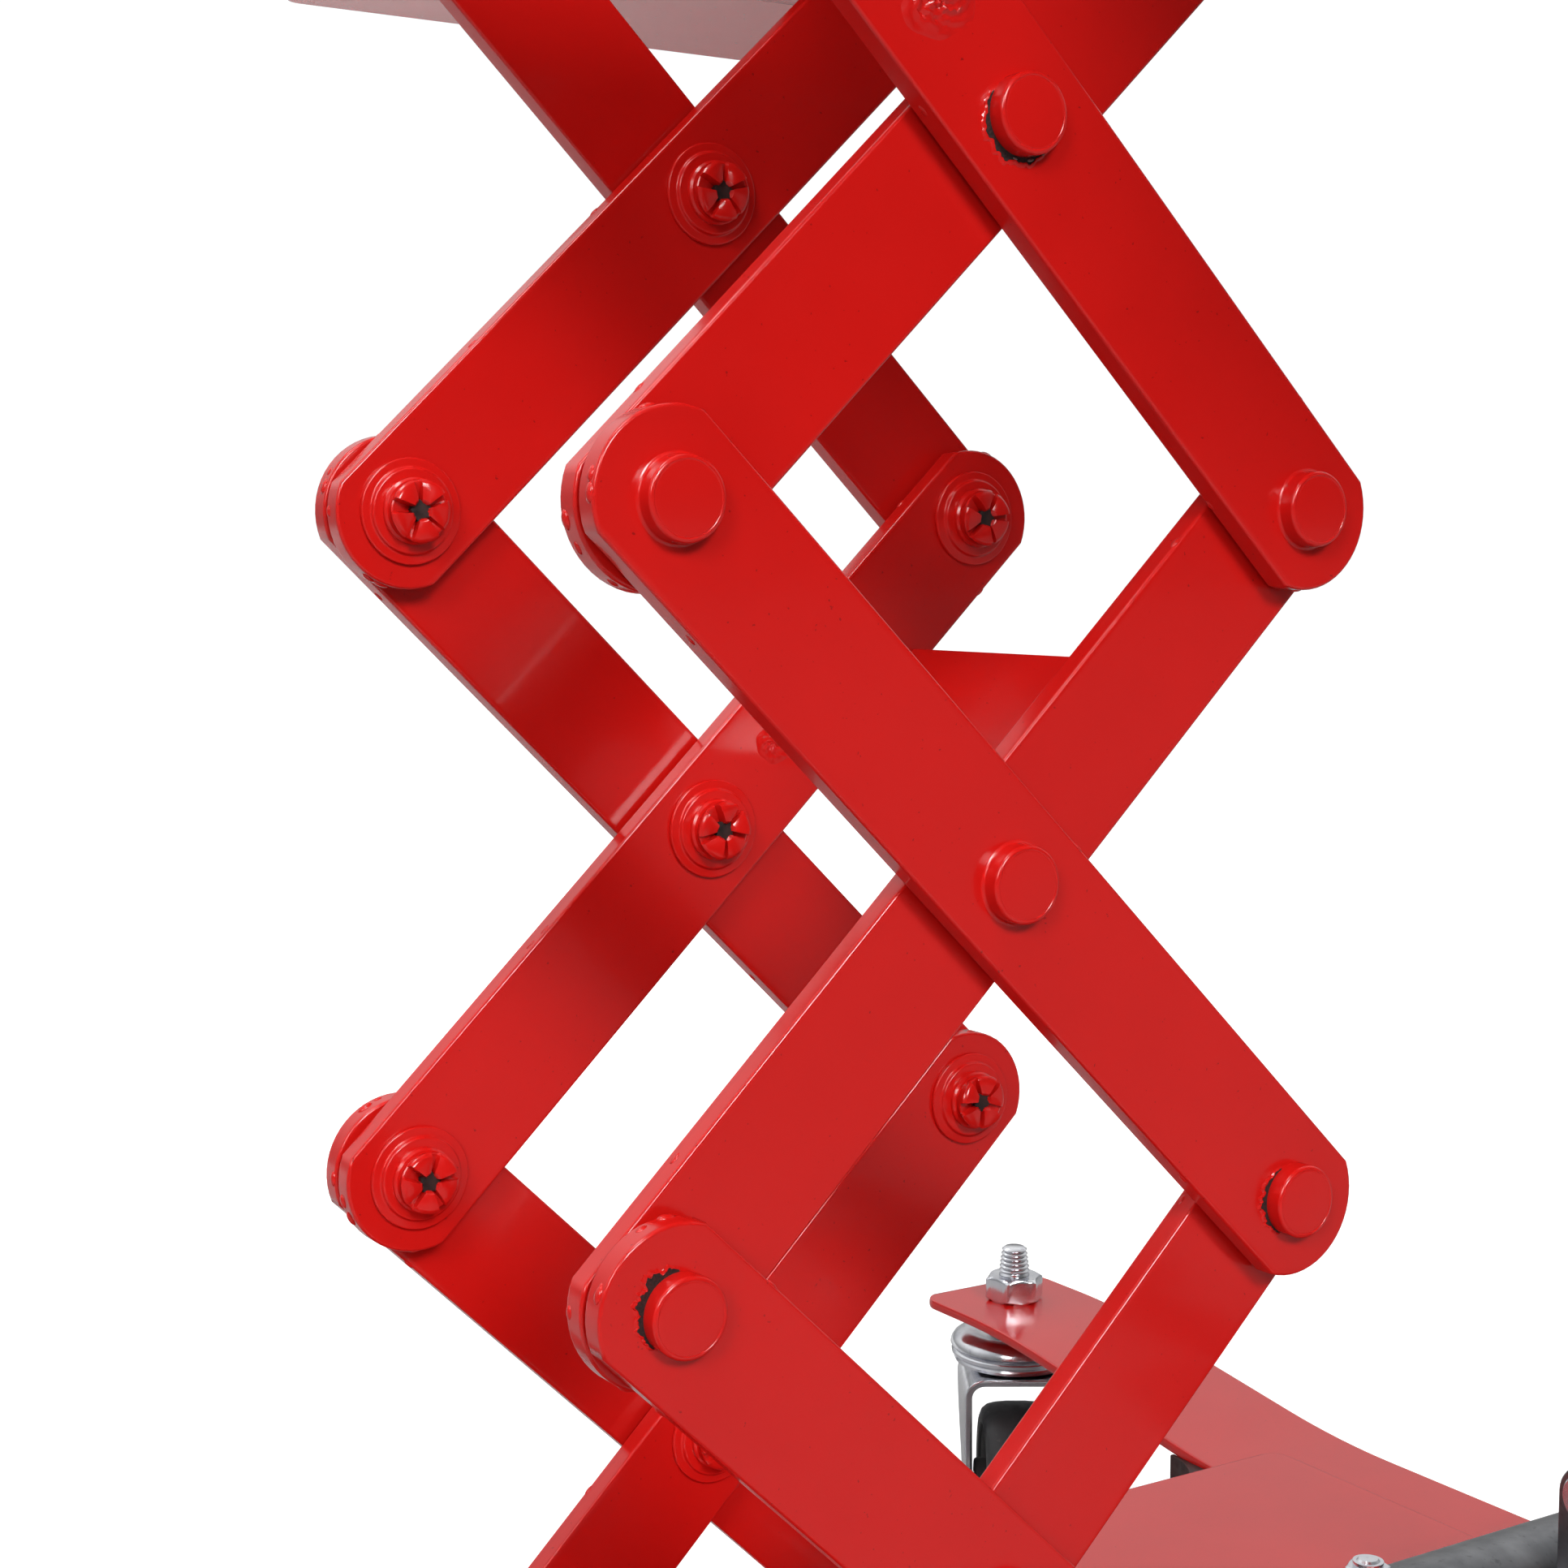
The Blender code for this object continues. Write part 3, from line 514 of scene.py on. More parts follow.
def build_bars():
    holes = [circle(x, 0, BAR_HOLE_R) for x in (-HALF_BAR, 0, HALF_BAR)]
    plain = slab([bar_outline(), *holes], -BAR_HALF_THICK, BAR_HALF_THICK, 0.75, 4)
    for count, stage in enumerate(("lower", "mid", "upper")):
        for layer, lean in (("inner", 1), ("outer", -1)):
            body = stage + "_" + layer
            for side, sign in NEAR_FAR.items():
                shape = joined(plain, *paint_drops(count * 4 + lean + sign * 1.7 + 9))
                place = spot(0, sign * LAYER_Y[layer], 0) @ sloping(count + 0.5, lean) @ STAND
                node = body + "_bar_" + side
                make("bar_" + body + "_" + side, shape, enamel, body, place, [node])


def head_profile(rim, steps):
    """A round head with a ring line in its flat face; the rim round the line may stand up."""
    profile = [(0, HEAD_TOP), (HEAD_R - 1.35, HEAD_TOP), (HEAD_R - 1.2, HEAD_TOP - 0.1)]
    profile += [(HEAD_R - 1.0, HEAD_TOP - 0.1), (HEAD_R - 0.85, HEAD_TOP + rim)]
    return profile + [tuple(point) for point in arc(HEAD_R - 0.75, HEAD_TOP - 0.75, 0.75, 80, 0, steps)]


def pin_shape(painted_over=True):
    """A pivot pin: flat round head with a ring line, shank, and a collar behind the split end."""
    foot = FILLET_R if painted_over else HEAD_R
    head = head_profile(0.02, 5)
    head += [(HEAD_R, OUTER_FACE + 0.5), (HEAD_R + (foot - HEAD_R) * 0.35, OUTER_FACE + 0.16)]
    head += [(foot, OUTER_FACE + 0.02), (foot, OUTER_FACE - 0.1), (PIN_R, OUTER_FACE - 0.1)]
    tail = [(PIN_R, 6.3), (COLLAR_R, 6.3), (COLLAR_R, 4.4), (COLLAR_R - 0.5, 3.9), (0, 3.9)]
    return lathe(head + raised(tail, SPLIT_TIP), 56)


SLOT_HALF_WIDTHS = (0.80, 0.66, 1.20, 0.78, 0.70)
SLOT_ANGLES = (14, 84, 158, 232, 300)
PETAL_LIFTS = (0.15, 0.50, 0.05, 0.35, 0.60)
PETAL_TILTS = (0.42, -0.30, 0.36, -0.42, 0.25)
# radius and depth below the tip, from the hole outwards and down the side
PETAL_ROWS = ((1.75, 1.7), (2.05, 0.65), (2.5, 0.18), (4.4, 0.0), (6.1, 0.12),
              (6.75, 0.42), (7.15, 0.95), (7.1, 1.7), (6.7, 2.9), (6.3, 4.2))
SLOT_ROWS = ((1.75, 3.3), (2.05, 3.2), (2.5, 3.0), (4.4, 2.5), (6.1, 2.1),
             (6.6, 2.1), (6.85, 2.3), (6.9, 2.6), (6.6, 3.3), (6.3, 4.2))
PETAL_COLUMNS = 6
FLAT_FROM_R = 5          # beyond this a petal's rows turn down its outer side
FLATNESS = 0.35          # how far that side is flat rather than round


def split_end_shape():
    """Five painted petals, pressed outwards, parted by slots that meet in a ragged hole."""
    rows = []
    for (petal_r, petal_depth), (slot_r, slot_depth) in zip(PETAL_ROWS, SLOT_ROWS):
        row = []
        for k, start in enumerate(SLOT_ANGLES):
            after = (k + 1) % 5
            end = SLOT_ANGLES[after] + (360 if after == 0 else 0)
            reach, end_reach = [
                math.degrees(math.asin(min(0.42, width * (0.35 + 0.16 * slot_r) / slot_r)))
                for width in (SLOT_HALF_WIDTHS[k], SLOT_HALF_WIDTHS[after])]
            for share in (-0.7, 0.0, 0.7):
                angle = math.radians(start + share * reach)
                row.append((*polar(slot_r, angle), SPLIT_TIP + slot_depth))
            half_turn = (end - end_reach - start - reach) / 2
            for i in range(PETAL_COLUMNS):
                across = 2 * i / (PETAL_COLUMNS - 1) - 1
                radius = petal_r
                if petal_r > FLAT_FROM_R:
                    flat = math.cos(math.radians(half_turn)) / math.cos(math.radians(half_turn * across))
                    radius *= (1 - FLATNESS + FLATNESS * flat) * (1.0 + 0.035 * (1 - across ** 4))
                angle = math.radians(start + reach + half_turn * (1 + across))
                lift = (PETAL_LIFTS[k] + PETAL_TILTS[k] * across) * (petal_depth < 1)
                depth = petal_depth + lift + 0.12 * across ** 4
                row.append((*polar(radius, angle), SPLIT_TIP + depth))
        rows.append(row)
    return loft(rows)


def ragged_hole_shape():
    """The dark break in the middle of a split end, running a little way out into its slots: a near-black
    plug that paints the shade deep in the hole.
    """
    outline = []
    for i in range(50):
        angle = math.radians(i * 7.2)
        near_slot = max(math.cos(angle - math.radians(slot)) for slot in SLOT_ANGLES)
        reach = 1.8 + 0.6 * max(0.0, near_slot - 0.86) / 0.14 + jagged(i, 0.4)
        outline.append(polar(reach, angle))
    return slab([outline], SPLIT_TIP + 1.5, SPLIT_TIP + 3.3, 0.06, 1)


def washer_shape():
    """A stepped washer against the inner bar's face, thick with paint."""
    bore = PIN_R + 0.3
    profile = [(bore, 0), (WASHER_R, 0), (WASHER_R, -1.15), (WASHER_STEP_R + 0.25, -1.25)]
    profile += [(WASHER_STEP_R, -2.3), (bore, -2.4)]
    return lathe(fillet(raised(profile, INNER_FACE - 0.02), 0.4, 3), 56)


# name, the body that holds the pins, place along X, level, and the turn of the split ends
PINS = (
    ("lower_left", "lower_outer", LEFT, 1, 20),
    ("lower_middle", "lower_outer", MIDDLE, 0.5, -35),
    ("mid_left", "mid_outer", LEFT, 2, 0),
    ("mid_middle", "mid_outer", MIDDLE, 1.5, 48),
    ("mid_right", "mid_outer", RIGHT, 1, -18),
    ("upper_middle", "upper_outer", MIDDLE, 2.5, 8),
    ("upper_right", "upper_outer", RIGHT, 2, 28),
    ("fixed_lower", "base", LEFT, 0, 62),
    ("fixed_upper", "deck", LEFT, 3, -50),
)
CRACKED = ("upper_middle_near", "lower_left_near", "mid_right_near")
CRACK_STEPS = 60
STIFFENER_X = (33.0, 73.5)     # along the bar from its middle
STIFFENER_TOP = -11.0
STIFFENER_THICK = 3.2


def build_pins():
    whole_pin = mesh_of("pin", pin_shape(), enamel)
    cracked_pin = mesh_of("cracked_pin", pin_shape(False), enamel)
    split_end = mesh_of("split_end", split_end_shape(), enamel, 34)
    ragged_hole = mesh_of("ragged_hole", ragged_hole_shape(), hole_shade)
    washer = mesh_of("washer", washer_shape(), enamel)
    for name, body, x, count, split_turn in PINS:
        for side, sign in NEAR_FAR.items():
            place = at_pivot(x, count, side)
            turned = place @ spin(split_turn + 31 * sign, "Z")
            full = name + "_" + side
            stands_for = [] if name.startswith("fixed") else [name + "_pin_" + side]
            add("pin_" + full, cracked_pin if full in CRACKED else whole_pin, body, place, stands_for)
            add("pin_split_end_" + full, split_end, body, turned)
            # A near-black plug in each split end's middle: painted shade of the hole.
            add("pin_hole_" + full, ragged_hole, body, turned)
            add("washer_" + full, washer, body, place)


def build_crack(name, body, x, count, start, end, widest, width):
    """Paint torn away from a head in a crescent: a near-black sheet in the gap that paints its shade, and a
    lifted ragged lip outside it.
    """
    inner, outer, lip = [], [], []
    for i in range(CRACK_STEPS + 1):
        t = i / CRACK_STEPS
        swell = max(0.0, 1 - abs(t - widest) / (widest if t < widest else 1 - widest)) ** 0.7
        gap = max(0.08, 0.14 + width * swell * (1 + jagged(i * 0.19, 0.7)) + jagged(i * 0.61, 0.08))
        lip_width = 0.40 + 0.7 * swell * (1 + jagged(i * 0.53, 0.8))
        ray = Vector(polar(1, math.radians(start + (end - start) * t)))
        inner.append(ray * (HEAD_R - 0.15))
        outer.append(ray * (HEAD_R + gap))
        lip.append(ray * (HEAD_R + gap + lip_width))
    place = at_pivot(x, count, "near")
    # The gap is a flat sheet at the bar's face, coloured near black as painted shade.
    gap_shape = slab([inner[::-1] + outer], OUTER_FACE - 0.1, OUTER_FACE + 0.07, 0.02, 1)
    make("crack_" + name, gap_shape, torn, body, place)
    rings = []
    for i, (a, b) in enumerate(zip(outer, lip)):
        rise = 0.12 + 0.28 * abs(jagged(i * 0.47, 1.0))
        ring = ((a * 0.999, -0.05), (a, rise), (a * 0.6 + b * 0.4, rise * 1.1), (b, 0.02), (b, -0.05))
        rings.append([(*point, OUTER_FACE + height) for point, height in ring])
    make("torn_lip_" + name, loft(rings), enamel, body, place)


def build_flakes():
    """Bits of bare metal in the torn paint under the upper middle pin."""
    for i, (angle, size) in enumerate(((258, 0.55), (283, 0.80), (306, 0.50))):
        x, y = polar(HEAD_R + 0.6, math.radians(angle))
        shape = blob(x, y, OUTER_FACE + 0.08, size, size * 0.45, 0.2, angle + 90)
        make(f"bare_flake_{i}", shape, bare, "upper_outer", at_pivot(MIDDLE, 2.5, "near"))


def mound_shape(radius, height, roughness, seed=0.0):
    """A low rough weld face: a disc whose surface rises and falls."""
    rings, steps = 12, 44
    rows = []
    for ring in range(rings + 1):
        share = ring / rings
        row = []
        for i in range(steps):
            angle = 2 * math.pi * i / steps
            reach = radius * share * (1 + 0.05 * math.sin(3 * angle + seed) + 0.03 * math.sin(7 * angle))
            wave = math.sin(reach * 1.9 + 2.1 * math.sin(2 * angle + seed))
            wave *= math.cos(angle * 5 + reach * 1.3 + seed)
            wave += 0.6 * math.sin(angle * 9 - reach * 2.4 + seed)
            rise = (height + roughness * wave * min(1.0, 4 * share)) * (1 - share ** 4)
            row.append((*polar(reach, angle), rise))
        rows.append(row)
    rows.append([(*point[:2], -0.3) for point in row])
    return loft(rows)


def weld(name, length, radius, ripples, body, place):
    """A run of painted weld along X: overlapping ripples, round in section."""
    rings = []
    count = ripples * 4
    for i in range(count + 1):
        t = i / count
        swell = 1 + 0.16 * math.cos(2 * math.pi * t * ripples) + 0.10 * math.sin(17 * t)
        size = radius * swell * min(1.0, (0.5 - abs(t - 0.5)) * 12 + 0.25)
        rings.append([(length * (t - 0.5), *(point * size)) for point in circle(0, 0, 1, 12)])
    make(name, loft(rings), enamel_rough, body, place)


def build_welds():
    """Plug welds that face the near side: outside on the near upper bar, inside on the far middle one."""
    upper = sloping(2.5, -1) @ OUTWARDS["near"] @ spot(-30, 0.5, OUTER_FACE)
    make("plug_weld_upper", mound_shape(9.2, 0.55, 0.50), enamel_rough, "upper_outer", upper)
    middle = sloping(1.5) @ OUTWARDS["near"] @ spot(27, 2, -INNER_FACE)
    make("plug_weld_middle", mound_shape(5.0, 0.35, 0.22, 1.4), enamel_rough, "mid_inner", middle)


def build_stiffener():
    """The cross plate between the middle bars, with a weld along each end."""
    (start, end), top = STIFFENER_X, STIFFENER_TOP
    half_y = INNER_FACE - 0.05
    edge = ((start, -half_y), (end, -half_y), (end, half_y), (start, half_y))
    sheet = slab([edge], top - STIFFENER_THICK, top, 0.6, 3)
    make("stiffener", sheet, enamel, "mid_inner", sloping(1.5), ["stiffener_plate"])
    for side, sign in NEAR_FAR.items():
        run = spot((start + end) / 2, sign * (INNER_FACE - 0.2), top - STIFFENER_THICK - 0.1)
        weld("stiffener_weld_" + side, end - start - 2, 1.9, 15, "mid_inner", sloping(1.5) @ run)


build_bars()
build_pins()
build_crack("upper_middle", "upper_outer", MIDDLE, 2.5, 150, 325, 0.42, 1.5)
build_crack("lower_left", "lower_outer", LEFT, 1, 92, 225, 0.27, 1.9)
build_crack("mid_right", "mid_outer", RIGHT, 1, 118, 240, 0.45, 1.3)
build_flakes()
build_welds()
build_stiffener()


# The base and its casters

FACE_X = spin(90, "Z") @ STAND                        # local XY to YZ, local Z to X
PLATE_THICK = 4.0
SADDLE_HALF_X = 9.0
SADDLE_HALF_Y = 24.0
SADDLE_HOLLOW_R = 18.3
FRONT_SADDLE_IN = 20.7         # from the barrel's front and back ends
BACK_SADDLE_IN = 35.0
MEMBER_FLAT_Y = 165.0          # where a cross member leaves the base's level
MEMBER_TAB_Y = 290.0           # where it levels out into a tab
MEMBER_BEND_R = 26.0
TAB_TIP_R = 9.0
GUSSET_LEG = 27.0
LUG_HALF_X = 15.0
LUG_TOP_R = 13.5
CASTER_NAMES = [side + "_" + end for side in NEAR_FAR for end in ("left", "right")]


def build_base_plate():
    """The base plate, with two saddles welded on it that hold the cylinder."""
    size, bottom = half("base_plate"), low("base_plate").z
    sheet = slab([rounded_rectangle(size.x, size.y, 7)], bottom, bottom + PLATE_THICK, 0.9, 3)
    make("base_plate", sheet, enamel, "base", replaces=["base_plate"])
    foot, top = bottom + PLATE_THICK - 0.5, high("base_plate").z
    side_edge = [(-SADDLE_HALF_Y, foot), (-SADDLE_HALF_Y, top - 2), (2 - SADDLE_HALF_Y, top)]
    outline = side_edge + arc(0, GROUND_LEVEL, SADDLE_HOLLOW_R, 200, 340, 14) + mirrored(side_edge)
    saddle = slab([outline[::-1]], -SADDLE_HALF_X, SADDLE_HALF_X, 0.8, 2)
    front = low("cylinder_barrel").x + FRONT_SADDLE_IN
    back = high("cylinder_barrel").x - BACK_SADDLE_IN
    for name, x in (("front", front), ("back", back)):
        make("cylinder_saddle_" + name, saddle, enamel, "base", spot(x, 0, 0) @ FACE_X)
        for side, sign in NEAR_FAR.items():
            run = spot(x, sign * SADDLE_HALF_Y, bottom + PLATE_THICK)
            weld("saddle_weld_" + name + "_" + side, 2 * SADDLE_HALF_X - 1, 1.9, 8, "base", run)


def build_cross_members():
    """Bent straps across the base, whose raised tabs carry the casters and have round tips."""
    half_thick = PLATE_THICK / 2
    for node in ("cross_member_left", "cross_member_right"):
        tip, flat_z, tab_z = high(node).y, low(node).z + half_thick, high(node).z - half_thick
        line = [(0, flat_z), (MEMBER_FLAT_Y, flat_z), (MEMBER_TAB_Y, tab_z), (tip, tab_z)]
        path = fillet(line, MEMBER_BEND_R, 8)[:-1]
        path += [Vector((tip - depth, tab_z)) for depth in (TAB_TIP_R, 7, 5, 3.4, 2, 1, 0.4, 0)]
        path = mirrored(path[1:]) + path
        rings = []
        for i, here in enumerate(path):
            run = (path[min(i + 1, len(path) - 1)] - path[max(i - 1, 0)]).normalized()
            depth = tip - abs(here.x)
            width, thick = half(node).x, half_thick * (0.55 + 0.45 * min(1.0, depth / 1.2))
            if depth < TAB_TIP_R:
                width -= TAB_TIP_R - math.sqrt(TAB_TIP_R ** 2 - (TAB_TIP_R - depth) ** 2)
            middle = (centre(node).x, here.x, here.y)
            rings.append(strip_ring(middle, (1, 0, 0), (0, -run.y, run.x), width, thick, 1.2))
        make(node, loft(rings), enamel, "base", replaces=[node])


def build_gussets():
    """Dark little webs in the corners between the base plate and the cross members, in a deep maroon that
    paints the shade under the plate.
    """
    leg, bottom, y = GUSSET_LEG, low("base_plate").z, high("base_plate").y
    hollow = arc(-leg, leg, leg - 0.6, -90, 0, 9)
    outline = [(1, -2), (1, leg), *reversed(hollow), (-leg, -2)]
    x = centre("cross_member_right").x - half("cross_member_right").x
    for end, sx in (("left", -1), ("right", 1)):
        for side, sy in NEAR_FAR.items():
            edge = outline if sx * sy > 0 else mirrored(outline)
            web = slab([edge], bottom - 11, bottom - 1.2, 0.5, 2)
            place = spot(sx * x, sy * y, 0) @ spin(0 if sy > 0 else 180, "Z")
            make("gusset_" + side + "_" + end, web, shadow_enamel, "base", place)


def ear_shape(foot):
    """An ear round a fixed pin, with its foot at a height above or below the pin."""
    sign = 1 if foot > 0 else -1
    outline = [(sign * LUG_HALF_X, foot), (-sign * LUG_HALF_X, foot)]
    outline += arc(0, 0, LUG_TOP_R, 90 + 90 * sign, 270 + 90 * sign, 24)
    return slab([outline, circle(0, 0, BAR_HOLE_R)], -BAR_HALF_THICK, BAR_HALF_THICK, 0.7, 3)


def build_base_lugs():
    """Ears on the base plate for the fixed lower pins, welded along both feet."""
    for side, sign in NEAR_FAR.items():
        node, y = "base_lug_" + side, sign * LAYER_Y["outer"]
        foot = low(node).z - GROUND_LEVEL - 0.3
        make(node, ear_shape(foot), enamel, "base", spot(LEFT, y, GROUND_LEVEL) @ STAND, [node])
        for face in (-1, 1):
            name = "lug_weld_" + side + ("_inner" if face * sign < 0 else "_outer")
            run = spot(LEFT, y + face * (BAR_HALF_THICK + 0.3), GROUND_LEVEL + foot + 0.5)
            weld(name, 2 * LUG_HALF_X, 2.0, 12, "base", run)


def nut_shape(across_flats, height):
    """A hexagon with both faces chamfered round."""
    flat, steps = across_flats / 2, 48
    rings = []
    for share, limit in ((0.0, 0.97), (0.13, 1.16), (0.87, 1.16), (1.0, 0.95)):
        ring = []
        for i in range(steps):
            angle = 2 * math.pi * i / steps
            hexagon = flat / math.cos((angle + math.pi / 6) % (math.pi / 3) - math.pi / 6)
            ring.append((*polar(min(hexagon, flat * limit), angle), height * share))
        rings.append(ring)
    return loft(rings)


THREAD_R = 6.4
THREAD_TIP_R = 5.2
THREAD_PITCH = 1.75
THREAD_TAPER = 9.0             # length over which the thread narrows to its tip
NUT_FLATS = 21.0
NUT_HEIGHT = 10.2
TAB_TO_SHOULDER = 4.6          # from a tab's top down to the stem's shoulder
TAB_TO_CUP = 13.0
CUP_TO_RACE = 5.6
# (radius, height) from the stem's shoulder, the cup's top, the lower race's top and the ground
SHOULDER = ((10, 0), (10, -6.4), (10.8, -7.4), (10.8, -9.0), (0, -9.0))
CUP = ((5, -0.9), (10.5, -0.9), (13.0, -1.1), (15.5, -0.4), (18.0, 0.1), (20.5, 0), (22.8, -0.7),
       (24.7, -2.0), (25.7, -3.6), (26.0, -5.2), (25.3, -5.7), (23.6, -5.6), (5, -4.2))
LOWER_RACE = ((6, 0), (23.0, -0.1), (24.6, -0.8), (25.6, -2.0), (25.5, -3.2), (24.2, -4.4),
              (24.6, -5.2), (24.0, -6.4), (21.0, -7.2), (6, -7.3))
KINGPIN = ((0, 71.6), (8, 71.6), (8.2, 70.6), (7.2, 68.9), (0, 68.6))
# height over the axle, set back from it and half width, from a fork leg's foot up
FORK_LEG = ((-9.0, 0.0, 0.8), (-8.4, 0.0, 3.6), (-6.4, 0.0, 6.5), (-3.2, 0.0, 8.5), (0.0, 0.0, 9.2),
            (3.0, 0.3, 9.3), (9.0, 3.6, 11.6), (17.0, 8.2, 15.2), (25.0, 12.2, 18.6), (31.0, 14.2, 20.0))
FORK_TOP = (14.8, 20.3)        # set back and half width of its bends and crown
FORK_OUTSIDE = 20.5
FORK_CROWN = 73.6
FORK_BEND_R = 6.5
AXLE_HALF = ((0, 24.6), (3.2, 24.6), (3.9, 24.0))
AXLE_NUT_FLATS = 12.8
AXLE_NUT_FROM = 22.05          # from the wheel's middle plane
# depth under the tread and height over the wheel's middle plane, from the rim to the tread
TYRE_SIDE = ((9.0, 13.4), (8.2, 14.3), (5.0, 14.6), (2.6, 13.6), (1.1, 11.6), (0.35, 8.4), (0, 4.0))
RIM_SIDE = [(4.4, 17.4), (8.6, 17.4), (9.0, 16.9), (9.3, 11.4), (10.4, 10.6), (18.8, 10.2), (20.2, 12.2)]


def thread_profile(start, end):
    """A screw thread's outline from its tip down, narrowing towards the tip."""
    points = [(0, end), (THREAD_TIP_R - 1.2, end), (THREAD_TIP_R - 0.5, end - 0.6)]
    height = end - 0.9
    while height > start + THREAD_PITCH:
        size = THREAD_TIP_R + (THREAD_R - THREAD_TIP_R) * min(1.0, (end - height) / THREAD_TAPER)
        points += [(size - 0.15, height), (size - 0.15, height - 0.2)]
        points += [(size - 0.85, height - THREAD_PITCH * 0.45), (size - 0.85, height - THREAD_PITCH * 0.55)]
        height -= THREAD_PITCH
    return points + [(THREAD_R - 0.2, start + THREAD_PITCH * 0.5), (THREAD_R - 0.2, start)]


def build_caster(name):
    """Stem, nut and upper race on the base; the fork swivels under them and holds the wheel."""
    node = "caster_stem_" + name
    axis, wheel = centre(node), centre("caster_wheel_" + name)
    tab_top = high("cross_member_right").z
    place = spot(axis.x, axis.y, 0)
    shoulder = tab_top - TAB_TO_SHOULDER
    stem = thread_profile(shoulder, high(node).z) + raised(SHOULDER, shoulder)
    make(node, lathe(stem, 40), zinc, "base", place, [node])
    nut_place = spot(0, 0, tab_top + 0.05) @ spin(9 if name.endswith("right") else -9, "Z")
    make("caster_nut_" + name, moved(nut_shape(NUT_FLATS, NUT_HEIGHT), nut_place), zinc, "base", place)
    cup_top = tab_top - TAB_TO_CUP
    make("caster_cup_" + name, lathe(raised(CUP, cup_top), 64), zinc, "base", place)
    place = place @ Matrix.Rotation(math.atan2(wheel.y - axis.y, wheel.x - axis.x), 4, "Z")
    trail = math.hypot(wheel.x - axis.x, wheel.y - axis.y)
    hub = place @ spot(trail, 0, wheel.z)
    build_fork(name, place, trail, wheel.z, cup_top - CUP_TO_RACE)
    build_axle(name, hub)
    build_wheel(name, hub @ OUTWARDS["far"], wheel.z)


def build_fork(name, place, trail, wheel_z, race_top):
    """Lower race, pressed fork and kingpin of a caster; local X points from stem to wheel."""
    body = "caster_" + name
    make("caster_race_" + name, lathe(raised(LOWER_RACE, race_top), 64), zinc, body, place)
    leg = [(-FORK_OUTSIDE, wheel_z + rise, -1, 0, trail - set_back, width)
           for rise, set_back, width in FORK_LEG]
    set_back, width = FORK_TOP
    for degrees in range(180, 89, -15):
        c, s = polar(1, math.radians(degrees))
        y, z = FORK_BEND_R - FORK_OUTSIDE + FORK_BEND_R * c, FORK_CROWN - FORK_BEND_R + FORK_BEND_R * s
        leg.append((y, z, c, s, trail - set_back, width))
    path = leg + [(-y, z, -ny, nz, x, width) for y, z, ny, nz, x, width in reversed(leg)]
    rings = [strip_ring((x, y, z), (1, 0, 0), (0, ny, nz), width, 1.5, 0.9)
             for y, z, ny, nz, x, width in path]
    make("caster_fork_" + name, loft(rings), zinc, body, place, ["caster_fork_" + name])
    make("caster_kingpin_" + name, lathe(KINGPIN, 32), zinc, body, place)


def build_axle(name, hub):
    """The bolt through a fork and its wheel, with its head and nut."""
    body = "caster_" + name
    axle = lathe(both_ways(list(AXLE_HALF)), 28)
    make("caster_axle_" + name, axle, zinc, body, hub @ OUTWARDS["far"])
    for kind, side, height in (("head_", "near", 3.2), ("nut_", "far", 3.6)):
        end = moved(nut_shape(AXLE_NUT_FLATS, height), spot(0, 0, AXLE_NUT_FROM))
        make("caster_axle_" + kind + name, end, zinc, body, hub @ OUTWARDS[side])


def build_wheel(name, place, radius):
    """A black tyre pressed on a dark rim, with a flange round the bore."""
    tyre = both_ways([(radius - depth, height) for depth, height in TYRE_SIDE])
    make("tyre_" + name, lathe(tyre, 72), tread, "wheel_" + name, place, ["caster_wheel_" + name])
    rim = both_ways(RIM_SIDE + [(radius - 8.9, 13.2)])
    make("rim_" + name, lathe(rim, 56), rubber, "wheel_" + name, place)


build_base_plate()
build_cross_members()
build_gussets()
build_base_lugs()
for caster_name in CASTER_NAMES:
    build_caster(caster_name)


# The deck, its rails and the rollers

RAIL_THICK = 3.0
RAIL_LIP = 9.5                 # how far a rail's lower lip reaches in from its outside
ROLLER_STEP = 0.9


def outward(node):
    """How far from the middle plane a node starts and ends."""
    return sorted((abs(low(node).y), abs(high(node).y)))


def build_deck():
    size, node = half("deck_plate"), "deck_plate"
    sheet = slab([rounded_rectangle(size.x, size.y, 6)], low(node).z, high(node).z, 0.9, 3)
    make(node, sheet, enamel, "deck", spot(centre(node).x, 0, 0), [node])


def build_rails():
    """Two channels under the deck, each with the ear of its fixed pin welded to its inner edge."""
    inner = LAYER_Y["inner"] - 4.3
    for side, sign in NEAR_FAR.items():
        node = "rail_" + side
        top, bottom, outer = high(node).z, low(node).z, outward(node)[1]
        web, lip = outer - RAIL_THICK, outer - RAIL_LIP
        edge = [(inner, top), (inner, top - RAIL_THICK), (web, top - RAIL_THICK)]
        edge += [(web, bottom + RAIL_THICK), (lip, bottom + RAIL_THICK), (lip, bottom)]
        edge += [(outer - 2, bottom), (outer - 0.6, bottom + 0.6), (outer, bottom + 2)]
        edge += [(outer, top - 2), (outer - 0.6, top - 0.6), (outer - 2, top)]
        edge = edge if sign > 0 else mirrored(edge)
        channel = slab([edge], -half(node).x, half(node).x, 0.5, 2)
        make(node, channel, enamel, "deck", spot(centre(node).x, 0, 0) @ FACE_X, [node])
        foot = top - level(3) - 1.2
        place = spot(LEFT, sign * LAYER_Y["inner"], level(3)) @ STAND
        make("deck_ear_" + side, ear_shape(foot), enamel, "deck", place)
        run = spot(LEFT, sign * (LAYER_Y["inner"] + BAR_HALF_THICK + 0.3), top - RAIL_THICK - 0.3)
        weld("deck_ear_weld_" + side, 2 * LUG_HALF_X, 1.8, 12, "deck", run)


